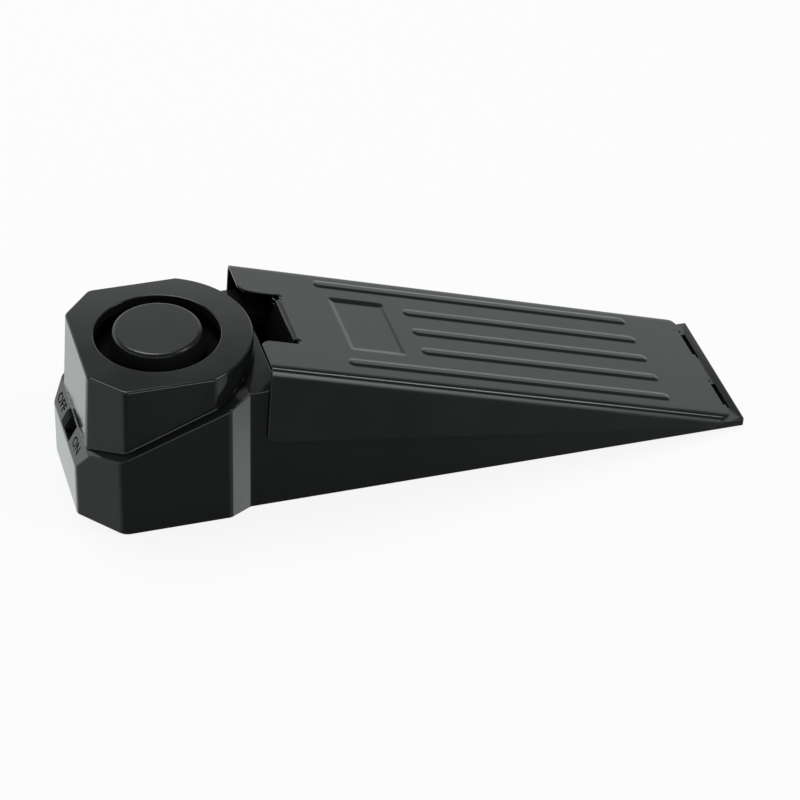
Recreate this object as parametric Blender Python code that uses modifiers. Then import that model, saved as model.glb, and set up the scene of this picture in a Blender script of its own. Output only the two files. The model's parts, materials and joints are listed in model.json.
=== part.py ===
"""Door stop alarm: a wedge that goes under a door, with a siren that a sprung steel plate sets off.

Metres, +Z up. The origin is the middle of the underside, and the thin tip of the wedge points along +X.
Distances named along the part are measured from the rear face of the siren head.
"""

import math

import bmesh
import bpy
from mathutils import Matrix, Vector

for old in list(bpy.data.objects):
    bpy.data.objects.remove(old, do_unlink=True)

# Walls and fits
wall = 0.0020
seat_gap = 0.0003
seam_gap = 0.00015
overrun = 0.0050

# Battery, a 9 V block, and its snap connector
battery_length = 0.0480
battery_width = 0.0262
battery_thickness = 0.0170
battery_rear = 0.0215
battery_corner_radius = 0.0022
battery_clearance = 0.0002
stud_spacing = 0.0127
stud_height = 0.0028
male_stud_radius = 0.0029
female_stud_radius = 0.0041
snap_end_length = 0.0059
snap_length = stud_spacing + 2 * snap_end_length
snap_width = 0.0125
snap_thickness = 0.0036
snap_corner_radius = 0.0050
snap_recess_depth = 0.0018
battery_rib_thickness = 0.0012
battery_rib_height = 0.0120
battery_rib_shares = (0.18, 0.50, 0.82)
battery_front = battery_rear + battery_length

# Wedge, built round the battery
battery_side_room = 0.0028
battery_head_room = 0.0004698
tail_length = 0.0755
overall_length = battery_front + tail_length
base_width = battery_width + 2 * (battery_side_room + wall)
tip_height = 0.0021
base_bottom = 0.0004
cover_plate_thickness = 0.0016
bottom_cover_top = base_bottom + cover_plate_thickness
battery_bottom = bottom_cover_top + battery_clearance
battery_top = battery_bottom + battery_thickness

# Plan of the head: the ledge outside and the drafted cover inside it
head_side_step = 0.0024
head_width = base_width + 2 * head_side_step
rear_chamfer_width = 0.0092
rear_face_width = head_width - 2 * rear_chamfer_width
head_chamfer_length = 0.0080
cover_width = base_width
cover_rear = 0.0032
cover_chamfer_width = 0.0069
cover_rear_width = cover_width - 2 * cover_chamfer_width
cover_chamfer_end = 0.0095
cover_nose_margin = 0.00166
cover_nose_radius = cover_width / 2 + cover_nose_margin
cover_draft_share = 0.05
cover_edge_round = 0.0004

# Siren
siren_side_margin = 0.00495
siren_rear_margin = 0.00195
siren_opening_radius = cover_width / 2 - siren_side_margin
siren_centre = cover_rear + wall + siren_rear_margin + siren_opening_radius
siren_gap_width = 0.0037
siren_cap_radius = siren_opening_radius - siren_gap_width
siren_cap_proud = 0.0012
siren_cap_thickness = 0.0022
siren_leg_width = 0.0024
siren_leg_count = 3
siren_ring_thickness = 0.0014
siren_ring_drop = 0.0050
cup_wall = 0.0012
cup_depth = 0.0080
cup_vent_radius = 0.0020
cup_inner_radius = siren_opening_radius + seat_gap
cup_outer_radius = cup_inner_radius + cup_wall
piezo_thickness = 0.0003
ceramic_margin = 0.00345
ceramic_radius = siren_opening_radius - ceramic_margin
ceramic_thickness = 0.0003
piezo_seat_width = 0.0014

# Neck between the head and the plate
neck_foot_gap = 0.00154
neck_end = siren_centre + cover_nose_radius + neck_foot_gap
neck_flat_length = 0.0060397
neck_start = neck_end - neck_flat_length
head_taper_length = 0.0046603
head_side_end = neck_start - head_taper_length
neck_drop = 0.0002649

# Circuit board and what it carries
board_clearance = 0.0015
board_height = battery_top + board_clearance
board_rear = 0.0120
board_neck_gap = 0.0014
board_front = neck_end - board_neck_gap
board_side_inset = 0.0023
board_width = battery_width - 2 * board_side_inset
board_thickness = 0.0014
board_post_setback = 0.0038
board_post_inset = 0.0024
board_post_offset = board_width / 2 - board_post_inset
board_post_radius = 0.0019
board_rest_thickness = 0.0018
board_rest_height = 0.0040
coil_radius = 0.0034
coil_height = 0.0024
coil_waist_radius = 0.0027
chip_length = 0.0050
chip_width = 0.0040
chip_height = 0.0015
capacitor_radius = 0.0020
capacitor_length = 0.0070
transistor_length = 0.0029
transistor_width = 0.0016
transistor_height = 0.0011
resistor_length = 0.0030
resistor_width = 0.0016
resistor_height = 0.0006
coil_spot_shares = (0.28, -0.45)
chip_spot_shares = (0.32, 0.50)
transistor_spot_shares = (0.58, 0.42)
rear_resistor_spot_shares = (0.08, 0.00)
front_resistor_spot_shares = (0.60, -0.70)
capacitor_spot_shares = (0.90, 0.00)

# Height of the head: battery, board, room for its parts, sounder cup and roof
cup_rise = 0.0026
cup_bottom = board_height + board_thickness + cup_rise
cup_top = cup_bottom + cup_depth
cover_top_height = cup_top + seat_gap + wall

# Deck and plate: the pressed plate passes just over the battery's front edge
hinge_setback = 0.0030
hinge_height = 0.0025
hinge_station = overall_length - hinge_setback
deck_gap = 0.0008
deck_climb = battery_top + battery_head_room + wall + deck_gap - hinge_height
pressed_angle = math.atan(deck_climb / (hinge_station - battery_front))
plate_travel_angle = math.radians(2.4)
plate_rest_angle = pressed_angle + plate_travel_angle
neck_height = hinge_height + (hinge_station - neck_end) * math.tan(pressed_angle) - neck_drop

# Sloping ledge between the lower and the upper half of the head, and the steep shelf of the switch
ledge_angle = math.radians(21.5)
ledge_rear_height = neck_height - neck_start * math.tan(ledge_angle)
shelf_depth = 0.0024
shelf_drop = 0.00345
shelf_foot_height = ledge_rear_height - shelf_drop

# Pressure plate, in its own flat frame: distances run from the hinge axis to the rear, heights from it up
plate_neck_overlap = 0.0015063
plate_length = (hinge_station - neck_end + plate_neck_overlap) / math.cos(plate_rest_angle)
plate_rise = 0.00073
plate_sheet = 0.0006
plate_bend_radius = 0.0013
plate_corner_radius = 0.0022
flange_rear_drop = 0.0183
flange_rear_inset = 0.0049
flange_tip_drop = 0.0034
flange_tip_inset = 0.0017
flange_corner_radius = 0.0015
notch_side_width = 0.00915
notch_width = base_width - 2 * notch_side_width
notch_depth = 0.00745
notch_corner_radius = 0.0020
tongue_side_gap = 0.00155
tongue_width = notch_width - 2 * tongue_side_gap
tongue_relief = 0.0008
tongue_length = 0.0086
tongue_hook_length = 0.0036
rib_side_margin = 0.0039
rib_pitch = (base_width / 2 - rib_side_margin) / 2
rib_width = 0.0019
rib_crest_width = 0.0009
rib_height = 0.00055
rib_groove_width = 0.0013
rib_groove_crest_width = 0.0007
rib_front = 0.0142
long_rib_margin = 0.01795
long_rib_rear = plate_length - long_rib_margin
panel_margin = 0.02025
panel_rear = plate_length - panel_margin
panel_length = 0.0118
panel_front = panel_rear - panel_length
rib_panel_gap = 0.0048
short_rib_rear = panel_front - rib_panel_gap
panel_side_width = 0.00905
panel_width = base_width - 2 * panel_side_width
panel_depth = 0.0004
panel_slope_width = 0.0006
panel_corner_radius = 0.0012
tab_inner_offset = 0.0051
tab_side_margin = 0.0045
tab_outer_offset = base_width / 2 - tab_side_margin
tab_setback = 0.0006
tab_drop = 0.0022
tab_bend_radius = 0.0007
tab_hook_length = 0.0013

# Openings of the deck under the plate
tongue_slot_rear_gap = 0.0013
tongue_slot_front_gap = 0.0008
tab_slot_gap = 0.0005
tab_slot_front_gap = 0.0014
tab_pocket_height = 0.0012
cavity_front_gap = 0.0130

# Bottom cover, battery door and pads
cover_rim = 0.0012
cover_front_gap = 0.0110
door_edge_gap = 0.0003
door_side_margin = 0.0008
door_front_margin = 0.0045
door_rear_margin = 0.0018
door_hook_length = 0.0018
door_hook_width = 0.0040
door_hook_thickness = 0.0010
door_hook_spacing = 0.0160
door_latch_width = 0.0080
door_latch_height = 0.0020
door_latch_thickness = 0.0009
pad_thickness = 0.0010
pad_margin = 0.0030
pad_corner_radius = 0.0030

# Slide switch behind the shelf
slot_width = 0.0067
slot_height = 0.0040
slider_travel = 0.0035
knob_width = 0.0028
knob_height = 0.0028
knob_proud = 0.0005
slider_base_width = 0.0042
slider_base_height = 0.0034
slider_base_thickness = 0.0010
switch_case_width = 0.0110
switch_case_height = 0.0048
switch_case_depth = 0.0042
switch_case_wall = 0.0008

# Trip switch under the deck, whose lever reaches up through a slot to the plate
trip_switch_length = 0.0128
trip_switch_height = 0.0065
trip_switch_width = 0.0058
trip_battery_gap = 0.0050
trip_switch_rear = battery_front + trip_battery_gap
trip_pin_radius = 0.0009
trip_pin_clearance = 0.00015
trip_pin_spacing = 0.0065
trip_pin_depth = 0.0047
trip_bracket_thickness = 0.0014
lever_length = 0.0125
lever_width = 0.0040
lever_thickness = 0.0004
lever_rest_angle = math.radians(22.7)
lever_travel_angle = math.radians(12.7)
lever_axis_setback = 0.0018
lever_axis_rise = 0.0004
lever_slot_gap = 0.0006
lever_curl_radius = 0.0007
button_radius = 0.0006
button_travel = 0.0005
button_setback = 0.0041
button_depth = 0.0012

# Return springs in wells of the deck
spring_neck_gap = 0.0088
spring_station = neck_end + spring_neck_gap
spring_side_margin = 0.0055
spring_offset = base_width / 2 - spring_side_margin
spring_radius = 0.0026
spring_wire = 0.0005
spring_turns = 6
spring_well_wall = 0.0009
spring_well_gap = 0.0006
spring_post_radius = 0.0014
spring_post_height = 0.0025

# Screws and their bosses
screw_shank_radius = 0.0011
screw_head_radius = 0.0021
screw_head_height = 0.0009
screw_head_rim = 0.0004
screw_crown_radius = 0.0015
screw_point_length = 0.0012
screw_hole_clearance = 0.0003
clearance_hole_radius = screw_shank_radius + screw_hole_clearance
pilot_hole_radius = screw_shank_radius + seam_gap
boss_wall = 0.0012
rear_screw_station = 0.0085
rear_screw_margin = 0.0078
rear_screw_offset = head_width / 2 - rear_screw_margin
head_screw_margin = 0.0041
head_screw_offset = cover_width / 2 - head_screw_margin
cup_boss_gap = 0.00038
cup_boss_reach = cup_outer_radius + cup_boss_gap + boss_wall + pilot_hole_radius
head_screw_station = siren_centre + math.sqrt(cup_boss_reach ** 2 - head_screw_offset ** 2)
middle_screw_gap = 0.0095
middle_screw_station = battery_front + middle_screw_gap
middle_screw_margin = 0.0051
middle_screw_offset = base_width / 2 - middle_screw_margin
tip_screw_setback = 0.0245
tip_screw_station = overall_length - tip_screw_setback
tip_screw_margin = 0.0089
tip_screw_offset = base_width / 2 - tip_screw_margin
screw_bite = 0.0050
board_screw_length = 0.0050

# Leads
lead_radius = 0.00055

# Facets
round_sides = 40
disc_sides = 32
well_sides = 24
coil_sides = 24
capacitor_sides = 20
small_round_sides = 16
curl_sides = 12
corner_steps = 5
rib_end_steps = 6
nose_steps = 22
spring_turn_points = 9
merge_distance = 0.000001

# The model's middle lies at the origin
rear_x = -overall_length / 2

part_group = bpy.data.collections.new("door_stop_alarm")
cutter_group = bpy.data.collections.new("cutters")
bpy.context.scene.collection.children.link(part_group)
bpy.context.scene.collection.children.link(cutter_group)


def along(station):
    """The x of a point at this distance from the rear face."""
    return rear_x + station


def material(name, colour, roughness, metallic=0.0):
    """A plain Principled material."""
    made = bpy.data.materials.new(name)
    made.use_nodes = True
    shader = made.node_tree.nodes["Principled BSDF"]
    shader.inputs["Base Color"].default_value = (*colour, 1.0)
    shader.inputs["Roughness"].default_value = roughness
    shader.inputs["Metallic"].default_value = metallic
    return made


black_abs = material("black_abs", (0.035, 0.038, 0.038), 0.45)
black_steel = material("black_painted_steel", (0.040, 0.045, 0.045), 0.38)
black_rubber = material("black_rubber", (0.020, 0.020, 0.020), 0.85)
brass = material("brass", (0.70, 0.52, 0.22), 0.30, 1.0)
ceramic_white = material("ceramic", (0.80, 0.80, 0.76), 0.50)
board_green = material("circuit_board", (0.03, 0.18, 0.08), 0.50)
chip_black = material("chip_epoxy", (0.02, 0.02, 0.02), 0.50)
ferrite = material("ferrite", (0.06, 0.06, 0.06), 0.60)
spring_steel = material("spring_steel", (0.55, 0.56, 0.58), 0.28, 1.0)
zinc_steel = material("zinc_plated_steel", (0.62, 0.63, 0.65), 0.32, 1.0)
battery_wrap = material("battery_jacket", (0.10, 0.12, 0.16), 0.35)
red_vinyl = material("red_vinyl", (0.60, 0.03, 0.03), 0.45)
black_vinyl = material("black_vinyl", (0.02, 0.02, 0.02), 0.45)
white_vinyl = material("white_vinyl", (0.75, 0.75, 0.72), 0.45)


def keep_mesh(name, bm, finish=None):
    """Makes an object of the mesh: a part where it has a finish, or else a cutter."""
    bmesh.ops.recalc_face_normals(bm, faces=bm.faces)
    mesh = bpy.data.meshes.new(name)
    bm.to_mesh(mesh)
    bm.free()
    obj = bpy.data.objects.new(name, mesh)
    return keep_object(obj, finish)


def keep_object(obj, finish=None):
    """Files the object with the parts or with the cutters."""
    if finish is None:
        cutter_group.objects.link(obj)
        obj.hide_render = True
        obj.display_type = "WIRE"
    else:
        part_group.objects.link(obj)
        obj.data.materials.append(finish)
    return obj


def boolean(obj, tool, operation):
    """Adds one Boolean to the object."""
    added = obj.modifiers.new(f"{operation.lower()}_{tool.name}", "BOOLEAN")
    added.operation = operation
    added.solver = "EXACT"
    added.object = tool
    return obj


def cut(obj, *tools):
    for tool in tools:
        boolean(obj, tool, "DIFFERENCE")
    return obj


def join(obj, *tools):
    for tool in tools:
        boolean(obj, tool, "UNION")
    return obj


def trim(obj, *tools):
    for tool in tools:
        boolean(obj, tool, "INTERSECT")
    return obj


def block(name, low, high, finish=None):
    """A box between two corners."""
    bm = bmesh.new()
    bmesh.ops.create_cube(bm, size=1.0)
    size = Vector(high) - Vector(low)
    middle = (Vector(high) + Vector(low)) / 2
    bmesh.ops.scale(bm, vec=size, verts=bm.verts)
    bmesh.ops.translate(bm, vec=middle, verts=bm.verts)
    return keep_mesh(name, bm, finish)


def rod(name, radius, start, end, finish=None, sides=small_round_sides, end_radius=None):
    """A round bar, or a cone, from one point to another."""
    start = Vector(start)
    run = Vector(end) - start
    bm = bmesh.new()
    bmesh.ops.create_cone(
        bm, cap_ends=True, segments=sides, depth=run.length,
        radius1=radius, radius2=radius if end_radius is None else end_radius,
    )
    turn = Vector((0, 0, 1)).rotation_difference(run).to_matrix().to_4x4()
    bmesh.ops.transform(bm, matrix=Matrix.Translation(start + run / 2) @ turn, verts=bm.verts)
    return keep_mesh(name, bm, finish)


def prism(name, outline, low, high, plane="XY", finish=None):
    """A flat outline in the XY or XZ plane, extruded from low to high along the third axis."""
    bm = bmesh.new()
    if plane == "XY":
        corners = [bm.verts.new((u, v, low)) for u, v in outline]
        run = Vector((0, 0, high - low))
    else:
        corners = [bm.verts.new((u, low, v)) for u, v in outline]
        run = Vector((0, high - low, 0))
    face = bm.faces.new(corners)
    grown = bmesh.ops.extrude_face_region(bm, geom=[face])
    moved = [item for item in grown["geom"] if isinstance(item, bmesh.types.BMVert)]
    bmesh.ops.translate(bm, vec=run, verts=moved)
    return keep_mesh(name, bm, finish)


def loft(name, low_outline, low_height, high_outline, high_height, finish=None):
    """A solid between two outlines with as many points, at two heights."""
    bm = bmesh.new()
    low = [bm.verts.new((x, y, low_height)) for x, y in low_outline]
    high = [bm.verts.new((x, y, high_height)) for x, y in high_outline]
    bm.faces.new(low)
    bm.faces.new(high)
    for index in range(len(low)):
        bm.faces.new((low[index - 1], low[index], high[index], high[index - 1]))
    return keep_mesh(name, bm, finish)


def turned(name, profile, centre, finish=None, sides=round_sides):
    """A profile of (radius, height) points, down the outer side, turned about an upright axis."""
    bm = bmesh.new()
    corners = [bm.verts.new((radius, 0, height)) for radius, height in profile]
    for first, second in zip(corners, corners[1:]):
        bm.edges.new((first, second))
    if profile[0][0] > 0:
        bm.edges.new((corners[-1], corners[0]))
    mesh = bpy.data.meshes.new(name)
    bm.to_mesh(mesh)
    bm.free()
    obj = keep_object(bpy.data.objects.new(name, mesh), finish)
    obj.location = centre
    screw = obj.modifiers.new("turn", "SCREW")
    screw.steps = sides
    screw.render_steps = sides
    screw.use_merge_vertices = True
    screw.merge_threshold = merge_distance
    screw.use_smooth_shade = False
    return obj


def tube(name, points, radius, finish, resolution=1):
    """A wire along the points."""
    curve = bpy.data.curves.new(name, "CURVE")
    curve.dimensions = "3D"
    spline = curve.splines.new("POLY")
    spline.points.add(len(points) - 1)
    for point, place in zip(spline.points, points):
        point.co = (*place, 1)
    curve.bevel_depth = radius
    curve.bevel_resolution = resolution
    curve.use_fill_caps = True
    return keep_object(bpy.data.objects.new(name, curve), finish)


def smooth_route(knots, steps=4):
    """Points on a smooth curve through the knots."""
    knots = [Vector(knot) for knot in knots]
    padded = [2 * knots[0] - knots[1], *knots, 2 * knots[-1] - knots[-2]]
    points = []
    for before, start, end, after in zip(padded, padded[1:], padded[2:], padded[3:]):
        for step in range(steps):
            t = step / steps
            points.append(
                (2 * start + (end - before) * t
                 + (2 * before - 5 * start + 4 * end - after) * t ** 2
                 + (3 * start - before - 3 * end + after) * t ** 3) / 2
            )
    return [*points, knots[-1]]


def arc(centre, radius, start, end, steps):
    """Points on an arc, angles in radians."""
    turns = [start + (end - start) * step / steps for step in range(steps + 1)]
    return [(centre[0] + radius * math.cos(t), centre[1] + radius * math.sin(t)) for t in turns]


def inset_outline(points, inset):
    """The closed outline, which runs counter-clockwise, moved inwards."""
    moved = []
    for index, point in enumerate(points):
        here = Vector(point)
        before = (here - Vector(points[index - 1])).normalized()
        after = (Vector(points[(index + 1) % len(points)]) - here).normalized()
        normals = Vector((-before.y, before.x)) + Vector((-after.y, after.x))
        moved.append(tuple(here + normals * inset / (1 + before.dot(after))))
    return moved


def rounded_outline(points, radius, steps=corner_steps):
    """The closed outline with each corner rounded to the radius."""
    made = []
    for index, point in enumerate(points):
        corner = Vector(point)
        before = (Vector(points[index - 1]) - corner).normalized()
        after = (Vector(points[(index + 1) % len(points)]) - corner).normalized()
        made.extend(corner_arc(corner, before, after, radius, steps))
    return made


def corner_arc(corner, before, after, radius, steps):
    """Points on the arc that rounds a corner, given the directions to both neighbours."""
    half = before.angle(after) / 2
    centre = corner + (before + after).normalized() * (radius / math.sin(half))
    first = corner + before * (radius / math.tan(half)) - centre
    last = corner + after * (radius / math.tan(half)) - centre
    turn = first.angle_signed(last)
    return [tuple(centre + Matrix.Rotation(-turn * step / steps, 2) @ first) for step in range(steps + 1)]


def rectangle(low_x, high_x, half_width):
    """Corners of a rectangle about the centre line."""
    return [(low_x, -half_width), (high_x, -half_width), (high_x, half_width), (low_x, half_width)]


def strip_outline(path, bend_radius, thickness):
    """The outline of sheet metal bent along a path, its inside to the left of the path."""
    spine = [Vector(path[0])]
    for before, corner, after in zip(path, path[1:], path[2:]):
        corner = Vector(corner)
        back = (Vector(before) - corner).normalized()
        ahead = (Vector(after) - corner).normalized()
        spine.extend(Vector(p) for p in corner_arc(corner, back, ahead, bend_radius, corner_steps))
    spine.append(Vector(path[-1]))
    inner = []
    for index, point in enumerate(spine):
        ahead = (spine[min(index + 1, len(spine) - 1)] - point).normalized()
        behind = (point - spine[max(index - 1, 0)]).normalized()
        heading = (ahead + behind).normalized()
        inner.append(tuple(point + Vector((-heading.y, heading.x)) * thickness))
    return [tuple(point) for point in spine] + inner[::-1]


def ledge_height(station):
    """Height of the sloping ledge at this distance from the rear face."""
    return ledge_rear_height + station * math.tan(ledge_angle)


def plate_height(station, angle, depth=0.0):
    """Height of the plate's top, or of a face this deep under it, with the plate at an angle."""
    rise = (plate_rise - depth) / math.cos(angle)
    return hinge_height + rise + (hinge_station - station) * math.tan(angle)


def deck_height(station):
    """Height of the deck, which lies parallel to the pressed plate and a gap under it."""
    return plate_height(station, pressed_angle, plate_sheet) - deck_gap


def plan_outline(front):
    """Plan outline of the housing, cut off square at the front station."""
    half = [
        (along(0), -rear_face_width / 2),
        (along(head_chamfer_length), -head_width / 2),
        (along(head_side_end), -head_width / 2),
        (along(neck_start), -base_width / 2),
        (along(front), -base_width / 2),
    ]
    return half + [(x, -y) for x, y in reversed(half)]


def housing_half_width(station):
    """Half width of the housing at this distance from the rear face, ahead of the rear chamfers."""
    share = (station - head_side_end) / (neck_start - head_side_end)
    share = min(max(share, 0), 1)
    return (head_width + (base_width - head_width) * share) / 2


def side_outline(front, low):
    """Side outline of the housing under the head cover, from the low height up."""
    deck_front = hinge_station + (deck_height(hinge_station) - tip_height) / math.tan(pressed_angle)
    if front > deck_front:
        front_points = [(along(front), low), (along(front), tip_height), (along(deck_front), tip_height)]
    else:
        front_points = [(along(front), low), (along(front), deck_height(front))]
    return [
        (along(0), low),
        *front_points,
        (along(neck_end), deck_height(neck_end)),
        (along(neck_end), neck_height),
        (along(neck_start), neck_height),
        (along(shelf_depth), ledge_height(shelf_depth)),
        (along(0), shelf_foot_height),
    ]


def cover_outline(growth):
    """Plan outline of the head cover, grown outwards from its size at the top."""
    half_width = cover_width / 2
    nose_turn = math.asin(half_width / cover_nose_radius)
    nose = arc((along(siren_centre), 0), cover_nose_radius, -nose_turn, nose_turn, nose_steps)
    outline = [
        (along(cover_rear), -cover_rear_width / 2),
        (along(cover_chamfer_end), -half_width),
        *nose,
        (along(cover_chamfer_end), half_width),
        (along(cover_rear), cover_rear_width / 2),
    ]
    return inset_outline(outline, -growth)


def cover_body(name, inset, top, finish=None):
    """The drafted body of the head cover, moved inwards, from below the ledge up to a height."""
    low = ledge_rear_height - overrun
    low_growth = (cover_top_height - low) * cover_draft_share - inset
    high_growth = (cover_top_height - top) * cover_draft_share - inset
    return loft(name, cover_outline(low_growth), low, cover_outline(high_growth), top, finish)


def screw_body(name, place, length, up=True):
    """A pan head screw, its head's seat at the place, with the shank up or down from there."""
    shank = length - screw_point_length
    profile = [
        (0, screw_head_height),
        (screw_crown_radius, screw_head_height),
        (screw_head_radius, screw_head_rim),
        (screw_head_radius, 0),
        (screw_shank_radius, 0),
        (screw_shank_radius, -shank),
        (0, -length),
    ]
    obj = turned(name, profile, place, zinc_steel, small_round_sides)
    if up:
        obj.rotation_euler = (math.pi, 0, 0)
    return obj


def boss(name, station, offset, low, high, hole_low, hole_high, hole_radius):
    """A round boss and the cutter of its hole."""
    centre = (along(station), offset)
    outer = rod(f"{name}_boss", hole_radius + boss_wall, (*centre, low), (*centre, high))
    hole = rod(f"{name}_hole", hole_radius, (*centre, hole_low), (*centre, hole_high))
    return outer, hole


rear_screw_top = ledge_height(rear_screw_station) + screw_bite
head_screw_seat = ledge_height(head_screw_station) - screw_bite
middle_boss_top = deck_height(middle_screw_station) - wall / 2
tip_boss_top = deck_height(tip_screw_station) - wall / 2

# Shelf frame: its middle, the way up the slope, and the way out of it
shelf_rise = ledge_height(shelf_depth) - shelf_foot_height
shelf_middle = Vector((along(shelf_depth / 2), 0, shelf_foot_height + shelf_rise / 2))
shelf_up = Vector((shelf_depth, 0, shelf_rise)).normalized()
shelf_out = Vector((-shelf_rise, 0, shelf_depth)).normalized()
shelf_matrix = Matrix((
    (0, shelf_up.x, shelf_out.x, shelf_middle.x),
    (-1, 0, 0, shelf_middle.y),
    (0, shelf_up.z, shelf_out.z, shelf_middle.z),
    (0, 0, 0, 1),
))

# Trip switch frame: its middle top edge under the deck, along the deck and square to it
switch_middle = trip_switch_rear + trip_switch_length / 2
switch_drop = wall + seat_gap + lever_thickness
switch_origin = Vector((along(switch_middle), 0, deck_height(switch_middle)))
deck_turn = Matrix.Rotation(pressed_angle, 4, "Y")
switch_matrix = Matrix.Translation(switch_origin) @ deck_turn @ Matrix.Translation((0, 0, -switch_drop))

# Plate frame: the hinge axis, with local -X along the plate to the rear
hinge_point = Vector((along(hinge_station), 0, hinge_height))
plate_matrix = Matrix.Translation(hinge_point) @ Matrix.Rotation(plate_rest_angle, 4, "Y")


def place(obj, matrix):
    """Puts the object in a frame by its matrix."""
    obj.matrix_world = matrix
    return obj


def spring_well_floor():
    """Height of the seat that a return spring stands on."""
    return battery_top + seat_gap + spring_well_wall


def base_housing():
    """The lower housing: a shell open below, with its deck, wells, slots, bosses and ribs."""
    plan = plan_outline(overall_length)
    base = prism("base_housing", plan, base_bottom, cover_top_height, "XY", black_abs)
    side = side_outline(overall_length, base_bottom - overrun)
    trim(base, prism("base_side", side, -head_width, head_width, "XZ"))
    cavity_front = overall_length - cavity_front_gap
    cavity = prism(
        "base_cavity", inset_outline(plan_outline(cavity_front), wall),
        base_bottom - overrun, cover_top_height,
    )
    inner_side = inset_outline(side_outline(cavity_front, base_bottom - overrun), wall)
    inner_side[0] = (inner_side[0][0], base_bottom - 2 * overrun)
    inner_side[1] = (inner_side[1][0], base_bottom - 2 * overrun)
    trim(cavity, prism("cavity_side", inner_side, -head_width, head_width, "XZ"))
    cut(base, cavity)
    cut(base, cover_body("head_opening", wall, cover_top_height))
    cover_front = overall_length - cover_front_gap
    rebate = prism(
        "cover_rebate", inset_outline(plan_outline(cover_front + cover_rim), cover_rim),
        base_bottom - overrun, bottom_cover_top + seat_gap,
    )
    cut(base, rebate)
    add_base_bosses(base)
    add_battery_ribs(base)
    add_board_mounts(base)
    add_spring_wells(base)
    add_trip_bracket(base)
    cut_deck_slots(base)
    cut_switch_slot(base)
    return base


def add_base_bosses(base):
    """Bosses of the long rear screws, the head screws, and the bottom cover's screws."""
    low = bottom_cover_top + seat_gap
    for side, name in ((1, "left"), (-1, "right")):
        rear_low = ledge_height(rear_screw_station) - seam_gap - boss_wall
        outer, hole = boss(
            f"rear_{name}", rear_screw_station, side * rear_screw_offset,
            low, rear_low, low - overrun, cover_top_height, clearance_hole_radius,
        )
        join(base, outer)
        cut(base, hole)
        outer, hole = boss(
            f"head_{name}", head_screw_station, side * head_screw_offset,
            head_screw_seat, ledge_height(head_screw_station) - wall / 2,
            head_screw_seat - overrun, cover_top_height, clearance_hole_radius,
        )
        join(base, outer)
        cut(base, hole)
        outer, hole = boss(
            f"middle_{name}", middle_screw_station, side * middle_screw_offset,
            low, middle_boss_top, low - overrun, low + 2 * screw_bite, pilot_hole_radius,
        )
        join(base, outer)
        cut(base, hole)
        outer, hole = boss(
            f"tip_{name}", tip_screw_station, side * tip_screw_offset,
            low, tip_boss_top, low - overrun, tip_boss_top - wall, pilot_hole_radius,
        )
        join(base, outer)
        cut(base, hole)


def add_battery_ribs(base):
    """Pairs of ribs that hold the battery's sides, and a cross rib at its front end."""
    inner = battery_width / 2 + seat_gap
    low = bottom_cover_top + seat_gap
    for number, share in enumerate(battery_rib_shares):
        middle = battery_rear + share * battery_length
        outer = housing_half_width(middle) - wall / 2
        for side, name in ((1, "left"), (-1, "right")):
            near, far = sorted((side * inner, side * outer))
            join(base, block(
                f"battery_rib_{name}_{number}",
                (along(middle - battery_rib_thickness / 2), near, low),
                (along(middle + battery_rib_thickness / 2), far, low + battery_rib_height),
            ))
    stop = battery_front + seat_gap
    outer = housing_half_width(stop) - wall / 2
    join(base, block(
        "battery_stop",
        (along(stop), -outer, deck_height(stop) - wall - 2 * boss_wall),
        (along(stop + battery_rib_thickness), outer, deck_height(stop) - wall),
    ))


def add_board_mounts(base):
    """Two posts under the neck for the board's front screws, and a cross rib under its rear edge."""
    top = neck_height - wall / 2
    low = board_height + board_thickness + seat_gap
    station = board_front - board_post_setback / 2
    for side, name in ((1, "left"), (-1, "right")):
        centre = (along(station), side * board_post_offset)
        join(base, rod(f"board_post_{name}", board_post_radius, (*centre, low), (*centre, top)))
        hole = rod(f"board_pilot_{name}", pilot_hole_radius,
                   (*centre, low - overrun), (*centre, low + screw_bite))
        cut(base, hole)
    join(base, block(
        "board_rest",
        (along(board_rear), -(head_width - wall) / 2, board_height - seat_gap - board_rest_height),
        (along(board_rear + board_rest_thickness), (head_width - wall) / 2, board_height - seat_gap),
    ))


def add_spring_wells(base):
    """A well with a centring post for each return spring."""
    floor = spring_well_floor()
    inner_radius = spring_radius + spring_wire / 2 + spring_well_gap
    for side, name in ((1, "left"), (-1, "right")):
        centre = (along(spring_station), side * spring_offset)
        top = deck_height(spring_station) - wall / 2
        join(base, rod(
            f"well_{name}", inner_radius + spring_well_wall,
            (*centre, floor - spring_well_wall), (*centre, top), sides=well_sides,
        ))
        cut(base, rod(
            f"well_bore_{name}", inner_radius, (*centre, floor), (*centre, top + overrun), sides=well_sides,
        ))
        join(base, rod(
            f"well_post_{name}", spring_post_radius,
            (*centre, floor - spring_well_wall / 2), (*centre, floor + spring_post_height),
        ))


def add_trip_bracket(base):
    """The bracket under the deck with the two pins that carry the trip switch."""
    near = trip_switch_width / 2 + seat_gap
    bracket = block(
        "trip_bracket",
        (-trip_switch_length / 2, near, -trip_switch_height),
        (trip_switch_length / 2, near + trip_bracket_thickness, switch_drop - wall / 2),
    )
    join(base, place(bracket, switch_matrix))
    for side, name in ((1, "front"), (-1, "rear")):
        middle = (side * trip_pin_spacing / 2, 0, -trip_pin_depth)
        start = Vector(middle) + Vector((0, near + trip_bracket_thickness / 2, 0))
        end = Vector(middle) - Vector((0, trip_switch_width / 2, 0))
        join(base, place(rod(f"trip_pin_{name}", trip_pin_radius, start, end), switch_matrix))


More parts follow.
